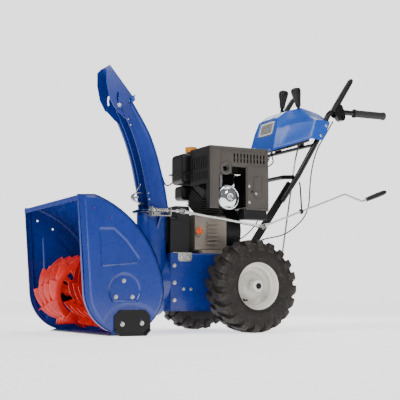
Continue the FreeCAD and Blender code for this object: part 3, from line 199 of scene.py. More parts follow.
def smooth_path(points, steps=10):
    """A Catmull-Rom line through the points."""
    points = [Vector(p) for p in points]
    ends = [points[0] * 2 - points[1]] + points + [points[-1] * 2 - points[-2]]
    path = []
    for a, b, c, d in zip(ends, ends[1:], ends[2:], ends[3:]):
        for i in range(steps):
            t = i / steps
            path.append(0.5 * (
                b * 2 + (c - a) * t + (a * 2 - b * 5 + c * 4 - d) * t * t
                + (b * 3 - a - c * 3 + d) * t ** 3
            ))
    path.append(points[-1])
    return path


def smoothstep(value, low, high):
    t = np.clip((value - low) / (high - low), 0, 1)
    return t * t * (3 - 2 * t)


def mesh_of(name, shape):
    """The mesh of a shape in metres, with its double points merged and its faces turned outwards."""
    mesh = bpy.data.meshes.new(name)
    points = [(x * MM, y * MM + AXLE_Y, z * MM) for x, y, z in shape.points]
    mesh.from_pydata(points, [], shape.faces)
    work = bmesh.new()
    work.from_mesh(mesh)
    bmesh.ops.remove_doubles(work, verts=work.verts, dist=1e-6)
    bmesh.ops.recalc_face_normals(work, faces=work.faces)
    work.to_mesh(mesh)
    work.free()
    return mesh


def linked(name, data):
    """A new object in the scene."""
    made = bpy.data.objects.new(name, data)
    bpy.context.scene.collection.objects.link(made)
    return made


def piece(name, shape, material, body, replaces=(), smooth=40, bevel=0, thicken=0):
    """Makes one piece of the object: it rides on a body and may stand for CAD nodes.

    Its material is the finish it is given."""
    mesh = mesh_of(name, shape)
    mesh.materials.append(material)
    mesh.polygons.foreach_set("use_smooth", [True] * len(mesh.polygons))
    mesh.set_sharp_from_angle(angle=math.radians(smooth))
    made = linked(name, mesh)
    if thicken:
        solid = made.modifiers.new("thickness", "SOLIDIFY")
        solid.thickness = thicken * MM
        solid.offset = -1
    if bevel:
        edge = made.modifiers.new("edges", "BEVEL")
        edge.width = bevel * MM
        edge.segments = 3
        edge.limit_method = "ANGLE"
        edge.angle_limit = math.radians(35)
    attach(made, body)
    if replaces:
        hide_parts(*replaces)
    return made


# ---- materials ----------------------------------------------------------------------------
FINISHES = {}              # every finish by its name, which for most is also the name of a slot


def finish(name, colour, rough, metal=0.0, coat=0.0, vary=0.08, patch=9.0, grain=0.0,
           grain_size=900.0, waves=0.0, wear=None, dirt=0.0, ripple=0.0, specular=0.5):
    """A surface with uneven colour and gloss, fine grain, soft waves, worn edges and dust."""
    made = bpy.data.materials.new(name)
    made.use_nodes = True
    nodes, links = made.node_tree.nodes, made.node_tree.links
    shader = nodes["Principled BSDF"]
    shader.inputs["Metallic"].default_value = metal
    shader.inputs["Coat Weight"].default_value = coat
    shader.inputs["Coat Roughness"].default_value = 0.06
    shader.inputs["Specular IOR Level"].default_value = specular
    place = nodes.new("ShaderNodeTexCoord").outputs["Object"]

    def noise(scale, detail, roughness=0.55):
        node = nodes.new("ShaderNodeTexNoise")
        node.inputs["Scale"].default_value = scale
        node.inputs["Detail"].default_value = detail
        node.inputs["Roughness"].default_value = roughness
        links.new(place, node.inputs["Vector"])
        return node.outputs["Fac"]

    def ramp(value, stops):
        node = nodes.new("ShaderNodeValToRGB")
        node.color_ramp.elements[0].position, node.color_ramp.elements[0].color = stops[0]
        node.color_ramp.elements[1].position, node.color_ramp.elements[1].color = stops[1]
        links.new(value, node.inputs["Fac"])
        return node.outputs["Color"]

    def blend(factor, low, high):
        node = nodes.new("ShaderNodeMix")
        node.data_type = "RGBA"
        links.new(factor, node.inputs["Factor"])
        links.new(low, node.inputs["A"])
        node.inputs["B"].default_value = high
        return node.outputs["Result"]

    darker = tuple(c * (1 - vary) for c in colour) + (1,)
    lighter = tuple(min(1, c * (1 + vary)) for c in colour) + (1,)
    tint = ramp(noise(patch, 6), ((0.32, darker), (0.68, lighter)))
    if dirt:
        cover = ramp(noise(patch * 2.3, 8, 0.7), ((0.52, (0, 0, 0, 1)), (0.78, (dirt, dirt, dirt, 1))))
        tint = blend(cover, tint, (0.33, 0.31, 0.28, 1))
    if wear:
        edge = nodes.new("ShaderNodeNewGeometry").outputs["Pointiness"]
        scuff = nodes.new("ShaderNodeMath")
        scuff.operation = "MULTIPLY"
        links.new(ramp(edge, ((0.52, (0, 0, 0, 1)), (0.60, (1, 1, 1, 1)))), scuff.inputs[0])
        links.new(ramp(noise(120, 6), ((0.45, (0, 0, 0, 1)), (0.62, (1, 1, 1, 1)))), scuff.inputs[1])
        tint = blend(scuff.outputs["Value"], tint, wear + (1,))
    links.new(tint, shader.inputs["Base Color"])

    gloss = nodes.new("ShaderNodeMapRange")
    gloss.inputs["To Min"].default_value = max(0.02, rough * 0.75)
    gloss.inputs["To Max"].default_value = min(1.0, rough * 1.3)
    links.new(noise(patch * 4, 7), gloss.inputs["Value"])
    links.new(gloss.outputs["Result"], shader.inputs["Roughness"])

    normal = None
    for strength, size, depth in ((grain, grain_size, 0.0004), (ripple, 60.0, 0.002), (waves, 7.0, 0.01)):
        if not strength:
            continue
        bump = nodes.new("ShaderNodeBump")
        bump.inputs["Strength"].default_value = strength
        bump.inputs["Distance"].default_value = depth
        links.new(noise(size, 3), bump.inputs["Height"])
        if normal:
            links.new(normal, bump.inputs["Normal"])
        normal = bump.outputs["Normal"]
    if normal:
        links.new(normal, shader.inputs["Normal"])
    FINISHES[name] = made
    return made


BLUE = finish("blue_paint", (0.001, 0.022, 0.215), 0.27, coat=0.35, vary=0.10, patch=5, waves=0.08,
              dirt=0.01)
RED = finish("red_paint", (0.60, 0.010, 0.003), 0.28, coat=0.3, vary=0.14, patch=14, grain=0.08,
             wear=(0.80, 0.16, 0.10), dirt=0.03)
BLACK_STEEL = finish("black_steel", (0.004, 0.004, 0.0045), 0.30, grain=0.08, dirt=0.01, specular=0.3)
BLACK_PLASTIC = finish("black_plastic", (0.006, 0.006, 0.0065), 0.42, grain=0.22, grain_size=1600,
                       dirt=0.01, specular=0.35)
SHROUD = finish("shroud_plastic", (0.058, 0.050, 0.043), 0.44, grain=0.25, grain_size=1500, dirt=0.03)
BLUE_PLASTIC = finish("blue_plastic", (0.004, 0.062, 0.36), 0.38, coat=0.1, vary=0.06, grain=0.03,
                      grain_size=1400, dirt=0.02)
finish("cast_alloy", (0.30, 0.26, 0.22), 0.52, metal=0.6, vary=0.16, grain=0.45, grain_size=650,
       dirt=0.12)
CAST_BLACK = finish("cast_black", (0.010, 0.0095, 0.009), 0.50, vary=0.2, grain=0.4, grain_size=700,
                    dirt=0.05, specular=0.4)
ZINC = finish("zinc", (0.58, 0.58, 0.56), 0.28, metal=0.95, vary=0.12, patch=40, grain=0.10, dirt=0.05)
STEEL = finish("steel", (0.42, 0.42, 0.42), 0.28, metal=1.0, vary=0.12, patch=30, grain=0.12, dirt=0.06)
CHROME = finish("chrome", (0.80, 0.82, 0.84), 0.07, metal=1.0, vary=0.03, ripple=0.03)
RIM = finish("rim_white", (0.66, 0.64, 0.58), 0.30, coat=0.35, vary=0.05, grain=0.06,
             wear=(0.40, 0.37, 0.33), dirt=0.08)
TYRE = finish("tyre", (0.013, 0.0105, 0.009), 0.62, vary=0.25, patch=20, grain=0.45, grain_size=500,
              ripple=0.2, wear=(0.09, 0.072, 0.058), dirt=0.10, specular=0.3)
GRIP = finish("grip_rubber", (0.009, 0.009, 0.009), 0.60, grain=0.35, grain_size=1300, dirt=0.03)
JACKET = finish("cable_jacket", (0.008, 0.008, 0.009), 0.42, grain=0.12, dirt=0.02)
finish("belt_rubber", (0.015, 0.015, 0.015), 0.75, grain=0.4, dirt=0.1)
AMBER = finish("amber_plastic", (0.80, 0.27, 0.01), 0.36, vary=0.06, grain=0.15)
finish("orange_plastic", (0.75, 0.10, 0.01), 0.36, vary=0.06, grain=0.15)
finish("red_plastic", (0.60, 0.02, 0.015), 0.36, vary=0.06, grain=0.15)
LENS = finish("lens", (0.62, 0.62, 0.62), 0.10, metal=0.8, vary=0.25, patch=45, ripple=0.35, coat=1.0)

# CAD nodes whose edges are rounded, with the width of the rounding in millimetres
ROUND_EDGED = {
    "skid_shoes": 1.2, "transmission_case": 1.2, "belt_cover": 1.2, "engine_crankcase": 1.5,
    "engine_shroud": 1.0, "engine_cylinder": 0.8, "lower_handles": 1.2, "deflector": 0.7,
    "scraper_blade": 0.8, "carburettor": 1.0, "bucket_back": 0.8, "ignition_key": 0.6,
}
SLOTS = {s["node"]: s["material_slot"] for s in frame["record"]["subparts"]}


def repaint(name, look, chosen):
    """Some faces of a CAD node take a second finish, chosen by their middle in millimetres."""
    mesh = frame["nodes"][name].data
    mesh.materials.append(look)
    for face in mesh.polygons:
        if chosen((face.center - Vector((0, AXLE_Y, 0))) / MM):
            face.material_index = len(mesh.materials) - 1


def dress_cad():
    """Every CAD node takes the procedural finish of its slot, and the listed ones have their edges softened."""
    for name, node in frame["nodes"].items():
        for place in node.material_slots:
            place.material = FINISHES[SLOTS[name]]
        if name in ROUND_EDGED:
            weld = node.modifiers.new("weld", "WELD")
            weld.merge_threshold = 1e-5
            edge = node.modifiers.new("edges", "BEVEL")
            edge.width = ROUND_EDGED[name] * MM
            edge.segments = 2
            edge.limit_method = "ANGLE"
            edge.angle_limit = math.radians(40)
            edge.harden_normals = True
    for name, look in (("axle", BLACK_STEEL), ("fuel_cap", AMBER), ("engine_cylinder", CAST_BLACK)):
        frame["nodes"][name].material_slots[0].material = look
    # the engine cover's front is black, its side and top are the warm grey
    front = corners("engine_shroud")[0].y + 4
    repaint("engine_shroud", BLACK_PLASTIC, lambda middle: middle.y < front)
    # the crank's bracket beside the chute is plated, the drum that carries it is painted
    repaint("impeller_drum", ZINC, lambda middle: middle.x > 152 and middle.z > 500)


# ---- bucket -------------------------------------------------------------------------------
def hull(points):
    """Convex outline of 2-D points, anticlockwise."""
    points = sorted(set((round(a, 4), round(b, 4)) for a, b in points))

    def chain(row):
        kept = []
        for p in row:
            while len(kept) > 1 and (
                (kept[-1][0] - kept[-2][0]) * (p[1] - kept[-2][1])
                - (kept[-1][1] - kept[-2][1]) * (p[0] - kept[-2][0])
            ) <= 0:
                kept.pop()
            kept.append(p)
        return kept[:-1]

    return chain(points) + chain(points[::-1])


def resample(outline, count):
    """Evenly spaced points round a closed outline."""
    loop = np.array(list(outline) + [outline[0]])
    steps = np.hypot(*np.diff(loop, axis=0).T)
    length = np.concatenate([[0], np.cumsum(steps)])
    at = np.linspace(0, length[-1], count, endpoint=False)
    return np.stack([np.interp(at, length, loop[:, 0]), np.interp(at, length, loop[:, 1])], axis=1)


def edge_distance(points, outline):
    """Distance from each point to a closed outline, positive inside a convex one."""
    loop = np.array(outline)
    best = np.full(len(points), 1e9)
    inside = np.ones(len(points), bool)
    for a, b in zip(loop, np.roll(loop, -1, axis=0)):
        run = b - a
        t = np.clip(((points - a) @ run) / (run @ run), 0, 1)
        best = np.minimum(best, np.hypot(*(points - a - t[:, None] * run).T))
        inside &= run[0] * (points[:, 1] - a[1]) - run[1] * (points[:, 0] - a[0]) > 0
    return np.where(inside, best, -best)


AUGER_Y, AUGER_Z = joint_place("auger_spin").yz
SIDE_POINTS = 300
SIDE_RINGS = 84
SIDE_CENTRE = (-650.0, 290.0)
SHEET = 3.0                # thickness of the side plates
PRESSED = 6.0              # depth of the embossing
TRAPEZOID = [(-739, 420), (-731, 286), (-588, 299), (-582, 309), (-635, 376), (-688, 421)]
CUTTER_HOLES = [(-773.0, 505.0), (-699.0, 469.0)]
CUTTER_HOLE_RADIUS = 4.5


def side_outline():
    node = frame["nodes"]["bucket_sides"]
    return hull([((v.co.y - AXLE_Y) / MM, v.co.z / MM) for v in node.data.vertices])


def level_start(outline, height):
    """Where a closed outline begins, from the front, at a height."""
    crossings = []
    for (y0, z0), (y1, z1) in zip(outline, np.roll(outline, -1, axis=0)):
        if min(z0, z1) <= height <= max(z0, z1):
            share = (height - z0) / (z1 - z0) if z1 != z0 else 0.0
            crossings.append(y0 + (y1 - y0) * share)
    return min(crossings)


def pressing(points, outline):
    """How far each point of a side plate is pressed outwards."""
    inset = edge_distance(points, outline)
    y, z = points[:, 0], points[:, 1]
    from_auger = np.hypot(y - AUGER_Y, z - AUGER_Z)
    from_arch = np.hypot((y + 606) / 1.24, z - 30)
    heights = np.linspace(outline[:, 1].min(), outline[:, 1].max(), 60)
    fronts = np.array([level_start(outline, h) for h in heights])
    behind_front = y - np.interp(z, heights, fronts)
    raised = smoothstep(inset, 9, 14) * smoothstep(behind_front, 26, 31) * smoothstep(from_arch, 97, 102)
    lift = smoothstep(edge_distance(points, hull(TRAPEZOID)), -10, -5)
    disc = smoothstep(-from_auger, -69, -64) * smoothstep(z, 137, 142)
    return PRESSED * raised * (1 - disc - 0.7 * lift)


def drill(made, holes, radius, low_x, high_x):
    """Cut round holes along X through a piece, at (y, z) places."""
    pins = Shape()
    for y, z in holes:
        pins.joined(loft([[(x, y + c, z + s) for c, s in circle(radius, 24)] for x in (low_x, high_x)]))
    cutter = linked("pins", mesh_of("pins", pins))
    cut = made.modifiers.new("holes", "BOOLEAN")
    cut.object = cutter
    drilled = bpy.data.meshes.new_from_object(made.evaluated_get(bpy.context.evaluated_depsgraph_get()))
    made.modifiers.remove(cut)
    made.data = drilled
    bpy.data.objects.remove(cutter)


def side_plates():
    outline = np.array(side_outline())
    loop = resample(outline, SIDE_POINTS)
    centre = np.array(SIDE_CENTRE)
    outer = corners("bucket_sides")[1].x
    inner = outer - SHEET
    rings = []
    for k in range(SIDE_RINGS):
        share = 1 - k / SIDE_RINGS
        rings.append(centre + (loop - centre) * share)
    pressed = pressing(np.concatenate(rings), outline)
    n = SIDE_POINTS
    hem = []
    for depth, inset in ((-14, 0.6), (-14, 0), (-6, 0), (-2.6, 0.9), (-0.8, 2.8), (0, 6.0)):
        ring = loop + (centre - loop) / np.hypot(*(centre - loop).T)[:, None] * inset
        hem.append([(outer + depth, y, z) for y, z in ring])

    def face_rows(x):
        rows = []
        for k, ring in enumerate(rings[1:], 1):
            rows.append([(x + h, y, z) for (y, z), h in zip(ring, pressed[k * n:(k + 1) * n])])
        return rows

    hub = [[(x + pressed[-1], *centre)] * n for x in (outer, inner)]
    rows = hem + face_rows(outer) + hub + face_rows(inner)[::-1]
    shape = skin(rows, wrap_rows=True, wrap_columns=True)
    left = piece("side_plate_left", shape, BLUE, "frame", smooth=60)
    right = piece("side_plate_right", shape.mirrored(), BLUE, "frame", smooth=60)
    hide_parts("bucket_sides")
    drill(left, CUTTER_HOLES, CUTTER_HOLE_RADIUS, inner - 10, outer + 20)
    drill(right, CUTTER_HOLES, CUTTER_HOLE_RADIUS, -outer - 20, -inner + 10)


AUGER_TURNS = 1.95
AUGER_RADIUS = corners("auger_flight_left")[1].z - AUGER_Z
RIBBON_WIDTH = 58.0
RIBBON_START = corners("auger_flight_left")[0].x + 10
RIBBON_LENGTH = corners("auger_flight_left")[1].x - 6 - RIBBON_START
TEETH = 19
TOOTH_NOTCH = 24.0
TOOTH_SLOPE = 0.92         # share of a tooth's length that slopes inwards before the step back out
SPOKES = (0.1, 0.38, 0.66, 0.94)
HUB_RADIUS = 19.0


def auger_ribbon(side, phase):
    """One saw-toothed band of the auger, wound round the shaft and dished a little."""
    outer = AUGER_RADIUS
    inner = outer - RIBBON_WIDTH
    rings = []
    steps = TEETH * 10
    for i in range(steps + 1):
        t = i / steps
        bite = (t * TEETH) % 1.0
        depth = bite / TOOTH_SLOPE if bite < TOOTH_SLOPE else (1 - bite) / (1 - TOOTH_SLOPE)
        reach = outer - TOOTH_NOTCH * depth
        a = phase + 2 * math.pi * AUGER_TURNS * t
        x = RIBBON_START + RIBBON_LENGTH * t
        section = []
        for r, dish in ((inner, 0), (inner + 18, 1.0), (outer - 28, 3.5), (reach, 11.0)):
            section.append((x + dish, r))
        for r, dish in ((reach, 14.0), (outer - 28, 6.8), (inner + 18, 4.4), (inner, 3.4)):
            section.append((x + dish, r))
        rings.append([
            (side * sx, AUGER_Y + r * math.cos(a), AUGER_Z + r * math.sin(a)) for sx, r in section
        ])
    return loft(rings)


def auger_spoke(x, angle):
    """A flat spoke from the hub tube to the ribbon, with its weld."""
    rings = []
    for r, w in ((HUB_RADIUS - 3, 13), (62, 10), (AUGER_RADIUS - RIBBON_WIDTH + 6, 12)):
        rings.append([(x + s * 3, u * w, r) for s, u in ((-1, -1), (1, -1), (1, 1), (-1, 1))])
    move = Matrix.Translation((0, AUGER_Y, AUGER_Z)) @ Matrix.Rotation(angle - math.pi / 2, 4, "X")
    weld = [(-2, HUB_RADIUS), (0, HUB_RADIUS + 4), (2, HUB_RADIUS)]
    return loft(rings).turned(move).joined(lathe(weld, (x, AUGER_Y, AUGER_Z), (1, 0, 0), 28))


def auger():
    low, high = corners("auger_flight_left")
    length = high.x - low.x
    tube = [(0, 13), (0, HUB_RADIUS - 1), (1, HUB_RADIUS), (length - 1, HUB_RADIUS),
            (length, HUB_RADIUS - 1), (length, 13)]
    for side, name, lead in ((1, "left", 0.3), (-1, "right", 0.9)):
        shape = Shape()
        for phase in (lead, math.pi + lead):
            shape.joined(auger_ribbon(side, phase))
            for t in SPOKES:
                x = side * (RIBBON_START + RIBBON_LENGTH * t + 2)
                shape.joined(auger_spoke(x, phase + 2 * math.pi * AUGER_TURNS * t))
        shape.joined(lathe(tube, (side * low.x, AUGER_Y, AUGER_Z), (side, 0, 0), 36))
        piece("auger_" + name, shape, RED, "auger",
              replaces=["auger_flight_" + name], bevel=0.7, smooth=30)


def bolt_head(centre, axis, across=13.0):
    """A flanged hexagon bolt head with a domed top."""
    axis, side, up = frame_of(axis)
    centre = Vector(centre)
    shape = lathe([(0, across * 0.74), (1.1, across * 0.74), (2.0, across * 0.56)], centre, axis, 30)
    rings = []
    for along, scale in ((1.6, 1.0), (across * 0.46, 1.0), (across * 0.54, 0.90), (across * 0.56, 0.55)):
        ring = []
        for i in range(6):
            a = math.radians(60 * i + 15)
            r = across / math.sqrt(3) * scale
            ring.append(centre + axis * along + (side * math.cos(a) + up * math.sin(a)) * r)
        rings.append(ring)
    return shape.joined(loft(rings))


# ---- wheels -------------------------------------------------------------------------------
TRACK_HALF = 270.0
WHEEL_HALF = 75.0          # half the width of a tyre
LUGS = 20


def tyre():
    """A tyre with two staggered rows of chunky lugs and a ribbed side wall."""
    radius = corners("tyres")[1].z - AXLE_Z
    half = WHEEL_HALF
    axle = (TRACK_HALF, 0, AXLE_Z)
    carcass = [
        (-half + 20, 99.6), (-half + 7, 104), (-half + 2, 114), (-half + 1, 128), (-half + 4, 150),
        (-half + 9, 168), (-half + 18, 181), (-half + 34, 187.5), (0, 189.5), (half - 34, 187.5),
        (half - 18, 181), (half - 9, 168), (half - 4, 150), (half - 1, 128), (half - 2, 114),
        (half - 7, 104), (half - 20, 99.6), (half - 26, 104), (half - 16, 128), (half - 18, 160),
        (half - 30, 180), (0, 183), (-half + 30, 180), (-half + 18, 160), (-half + 16, 128),
        (-half + 26, 104),
    ]
    shape = lathe_loop(carcass, axle, (1, 0, 0), 120)
    for rib in (108.5, 121.0):
        for side in (-1, 1):
            band = ((half - 4, -2.4), (half - 0.6, -1), (half - 0.6, 1), (half - 4, 2.4))
            shape.joined(lathe_loop([(side * x, rib + r) for x, r in band], axle, (1, 0, 0), 120))
    for side in (-1, 1):
        for i in range(LUGS):
            turn = 2 * math.pi * (i + (0.5 if side > 0 else 0)) / LUGS
            shape.joined(lug(side, turn, radius))
    return shape


def lug(side, turn, radius):
    """One tread block: it runs from the centre line, swept back, and wraps over the shoulder."""
    rows = []
    stations = [
        (3, 187, radius - 0.6, 0.090, 0.00), (22, 187, radius - 0.2, 0.095, 0.02),
        (44, 184, radius - 1.2, 0.086, 0.070), (58, 179, radius - 5, 0.080, 0.095),
        (67, 172, radius - 15, 0.078, 0.10), (72.5, 164, radius - 30, 0.076, 0.10),
        (73.6, 160, radius - 37, 0.070, 0.10),
    ]
    for across, low, top, width, sweep_back in stations:
        middle = turn + side * sweep_back
        row = []
        for r, a in ((low - 6, -width * 1.2), (top - 1.5, -width), (top, -width * 0.86),
                     (top, width * 0.86), (top - 1.5, width), (low - 6, width * 1.2)):
            angle = middle + a
            reach = across if r > low else across - 3
            row.append((TRACK_HALF + side * reach, r * math.cos(angle), AXLE_Z + r * math.sin(angle)))
        rows.append(row)
    return loft(rows)


def rim():
    """A deep, stepped pressed-steel rim with its hub tube."""
    half = WHEEL_HALF
    outline = [
        (half - 8.5, 109.5), (half - 10, 111.6), (half - 12.5, 110.5), (half - 17, 101),
        (half - 44, 99.7), (half - 50, 87), (-half + 50, 87), (-half + 44, 99.7), (-half + 17, 101),
        (-half + 12.5, 110.5), (-half + 10, 111.6), (-half + 8.5, 109.5), (-half + 13, 97),
        (-half + 42, 96), (-half + 48, 83), (-14, 83), (-12, 70), (-6, 60), (4, 50), (8, 44), (9, 27),
        (-half - 22, 24), (-half - 22, 13), (half - 12, 13), (half - 12, 22), (half - 14, 24),
        (14, 25), (13, 42), (11, 50), (2, 60), (-2, 66), (0, 74), (7, 82), (half - 49, 83.5),
        (half - 46, 88), (half - 42, 96), (half - 20, 97.5), (half - 13, 101),
    ]
    return lathe_loop(outline, (TRACK_HALF, 0, AXLE_Z), (1, 0, 0), 96)


def wheels():
    shape = tyre()
    piece("tyre_left", shape, TYRE, "wheels", replaces=["tyres"], bevel=0.9, smooth=32)
    piece("tyre_right", shape.mirrored(), TYRE, "wheels", bevel=0.9, smooth=32)
    disc = rim()
    piece("rim_left", disc, RIM, "wheels", replaces=["rims"], smooth=28, bevel=0.6)
    piece("rim_right", disc.mirrored(), RIM, "wheels", smooth=28, bevel=0.6)
    turn, reach = math.radians(236), 74
    y, z = reach * math.cos(turn), AXLE_Z + reach * math.sin(turn)
    valve = [(0, 7), (4, 6.5), (10, 4.5), (12, 3.2), (22, 3.2), (23, 4.2), (30, 4.2), (31, 3)]
    for side, name in ((1, "left"), (-1, "right")):
        stem = lathe(valve, (side * (TRACK_HALF + 4), y, z), (side, 0, 0), 20)
        piece("valve_" + name, stem, BLACK_PLASTIC, "wheels", smooth=30)


# ---- chute --------------------------------------------------------------------------------
def curve_through(points, count):
    """Evenly numbered points on a smooth line through (y, z) points."""
    line = smooth_path([(0, y, z) for y, z in points], 12)
    steps = [0.0]
    for a, b in zip(line, line[1:]):
        steps.append(steps[-1] + (b - a).length)
    at = np.linspace(0, steps[-1], count)
    y, z = (np.interp(at, steps, [p[k] for p in line]) for k in (1, 2))
    return list(zip(y, z))


CHUTE_X, CHUTE_Y = joint_place("chute_rotate").xy
CHUTE_HALF = 50.0
CHUTE_FRONT = [(-437, 533), (-441, 580), (-452, 640), (-476, 745), (-511, 850), (-562, 962)]
CHUTE_REAR = [(-334, 533), (-351, 630), (-375, 724), (-400, 805), (-436, 886), (-512, 1006)]
HINGE = (-520.0, 1011.0)
EAR_OUTLINE = [(-536, 912), (-560, 930), (-592, 960), (-597, 976), (-590, 990), (-574, 997), (-524, 1000)]


def channel_section(front, rear):
    """The chute's U at one height: lips in front, creased cheeks, rounded rear corners."""
    run = Vector((rear[0] - front[0], rear[1] - front[1]))
    depth = run.length
    corner = 15.0
    flank = CHUTE_HALF - 2.2
    half = [(0, CHUTE_HALF + 5), (0.6, CHUTE_HALF + 1.2), (3, CHUTE_HALF - 0.4), (14, CHUTE_HALF - 0.4),
            (16.5, flank), (depth * 0.5, flank), (depth - corner - 6, flank),
            (depth - corner - 3, CHUTE_HALF - 0.6)]
    for i in range(7):
        a = math.radians(90 * i / 6)
        across = CHUTE_HALF - 0.6 - corner + corner * math.cos(a)
        half.append((depth - corner + corner * math.sin(a), across))
    half.append((depth, 0))
    row = []
    for along, across in half + [(a, -c) for a, c in half[-2::-1]]:
        share = along / depth
        row.append((CHUTE_X + across, front[0] + run.x * share, front[1] + run.y * share))
    return row


def chute():
    count = 44
    sides = zip(curve_through(CHUTE_FRONT, count), curve_through(CHUTE_REAR, count))
    shape = skin([channel_section(front, rear) for front, rear in sides])
    piece("chute_channel", shape, BLUE, "chute", replaces=["chute"], smooth=32, thicken=2.2)
    collar = lathe_loop([(0.2, 58.3), (4.2, 58.3), (4.2, 71), (3.2, 72.5), (0.2, 72.5)],
                        (CHUTE_X, CHUTE_Y, corners("chute")[0].z), (0, 0, 1), 72)
    piece("chute_collar", collar, BLUE, "chute", smooth=30)
    ears = Shape()
    for side in (-1, 1):
        x = CHUTE_X + side * (CHUTE_HALF - 1.6)
        ears.joined(prism_x(EAR_OUTLINE, x - 1.4, x + 1.4))
    piece("chute_ears", ears, BLUE, "chute", bevel=0.6)
    chute_fixings()
    chute_clip()


def chute_fixings():
    """The bolts that hold the deflector's arms, and the rivets along the chute's front lips."""
    reach, turn = 68, math.radians(210)
    bolt_y = HINGE[0] + reach * math.cos(turn)
    bolt_z = HINGE[1] + reach * math.sin(turn)
    fixings = Shape()
    for side in (-1, 1):
        start = CHUTE_X + side * (CHUTE_HALF + 4.2)
        fixings.joined(lathe([(0, 9), (1.2, 9), (1.3, 6.6)], (start, bolt_y, bolt_z), (side, 0, 0), 24))
        fixings.joined(bolt_head((start + side * 1.2, bolt_y, bolt_z), (side, 0, 0), 9))
        for t in (0.10, 0.16, 0.84, 0.90):
            y, z = curve_through(CHUTE_FRONT, 101)[int(t * 100)]
            fixings.joined(lathe([(0, 3.4), (0.8, 3.2), (1.5, 2.0), (1.7, 0.4)],
                                 (CHUTE_X + side * (CHUTE_HALF - 0.6), y + 8, z), (side, 0, 0), 16))
    piece("chute_fixings", fixings, ZINC, "chute", smooth=35)


def chute_clip():
    """The spring clip at the foot of the chute, with its wire and pin."""
    strap = [(CHUTE_X, y, z) for y, z in ((-446, 606), (-470, 608), (-486, 600), (-492, 586), (-482, 573),
                                          (-462, 564), (-441, 557))]
    clip = sweep(smooth_path(strap, 6), rounded_rectangle(36, 1.8, 0.8, 3))
    clip.joined(sweep([(CHUTE_X - 12, -470, 610), (CHUTE_X - 12, -446, 648)], circle(1.8, 12)))
    clip.joined(lathe([(-21, 3.2), (-21, 5), (21, 5), (21, 3.2)], (CHUTE_X, -476, 587), (1, 0, 0), 24))
    piece("chute_clip", clip, ZINC, "chute", smooth=35)


def wing_knobs():
    """The wing knobs at the deflector's hinge, on its outer arms."""
    turn = math.radians(60)
    wing_y, wing_z = math.cos(turn), math.sin(turn)
    for side, name in ((1, "left"), (-1, "right")):
        start = CHUTE_X + side * 58.5
        knob = lathe([(0, 7), (3, 7), (9, 6), (11, 4)], (start, *HINGE), (side, 0, 0), 24)
        for sign in (-1, 1):
            rows = []
            for reach, half, along in ((3, 3.4, 4), (9, 3.0, 8), (15, 3.2, 11), (18, 2.2, 12)):
                y, z = HINGE[0] + sign * reach * wing_y, HINGE[1] + sign * reach * wing_z
                dy, dz = -wing_z * half, wing_y * half
                inner, outer = start + side * (along - 3.4), start + side * along * 0.82
                rows.append([(inner, y + dy, z + dz), (inner, y - dy, z - dz),
                             (outer, y - dy, z - dz), (outer, y + dy, z + dz)])
            knob.joined(loft(rows))
        piece("wing_knob_" + name, knob, BLUE_PLASTIC, "deflector", bevel=0.6, smooth=35)


# ---- controls -----------------------------------------------------------------------------
def knob_shape(top, lean, place):
    """A flat steel stick with a moulded paddle knob, leaning about its pivot."""
    shape = box(-2, 2, -8, 8, -38, top - 60)
    shape.joined(lathe([(-7, 10), (7, 10)], (0, 0, 0), (1, 0, 0), 28))
    rows = []
    for height, half_x, half_y, shift in (
        (top - 92, 7, 10, 0), (top - 89, 9, 12, 0), (top - 60, 12, 16, -1), (top - 34, 16, 21, -2),
        (top - 16, 18, 23, -2), (top - 6, 17, 21, -1), (top - 1.5, 12, 15, 0), (top, 6, 8, 0),
    ):
        row = []
        for i in range(24):
            a = 2 * math.pi * i / 24
            c, s = math.cos(a), math.sin(a)
            x, y = math.copysign(abs(c) ** 0.6, c), math.copysign(abs(s) ** 0.6, s)
            row.append((half_x * x, shift + half_y * y, height))
        rows.append(row)
    shape.joined(loft(rows))
    return shape.turned(Matrix.Translation(place) @ Matrix.Rotation(math.radians(lean), 4, "X"))


def panel_levers():
    for name, lean, top in (("deflector_lever", -8, 230), ("gear_lever", 9, 200)):
        shape = knob_shape(top, lean, joint_place(name + "_tilt"))
        piece(name + "_knob", shape, BLACK_PLASTIC, name,
              replaces=[name], smooth=38)


def grips():
    """Ribbed rubber grips with a collar and a flared end, on the handle tubes."""
    bend, end = Vector((248, 448, 1026)), Vector((250, 762, 1029))
    along = (end - bend).normalized()
    start = end - along * 177
    profile = [(0, 13), (0, 20), (1, 21), (7, 21), (8, 20), (9, 17.5)]
    count, ribbed = 26, 152
    for i in range(count):
        a = 10 + i * (ribbed / count)
        profile += [(a, 16.6), (a + 1.2, 17.6), (a + 4.2, 17.6), (a + 5.4, 16.6)]
    profile += [(165, 17), (170, 19), (176, 19.8), (180, 19), (181.0, 16), (181.0, 4)]
    shape = lathe(profile, start, along, 40)
    piece("grip_left", shape, GRIP, "frame", replaces=["handle_grips"], smooth=42)
    piece("grip_right", shape.mirrored(), GRIP, "frame", smooth=42)


def crank_handle():
    """The waisted grip at the end of the chute's crank."""
    axis = Vector((0, 0.9373, 0.3485))
    start = joint_place("grip_spin") + axis * 26.6
    profile = [(0, 5.2), (0, 9), (2, 10.5), (12, 10.2), (40, 11.6), (80, 12.0), (110, 11.4), (121, 9.5),
               (124.6, 7), (124.8, 5.2)]
    shape = lathe_loop(profile, start, axis, 40)
    piece("crank_handle", shape, BLACK_PLASTIC, "crank_grip", replaces=["crank_grip"])


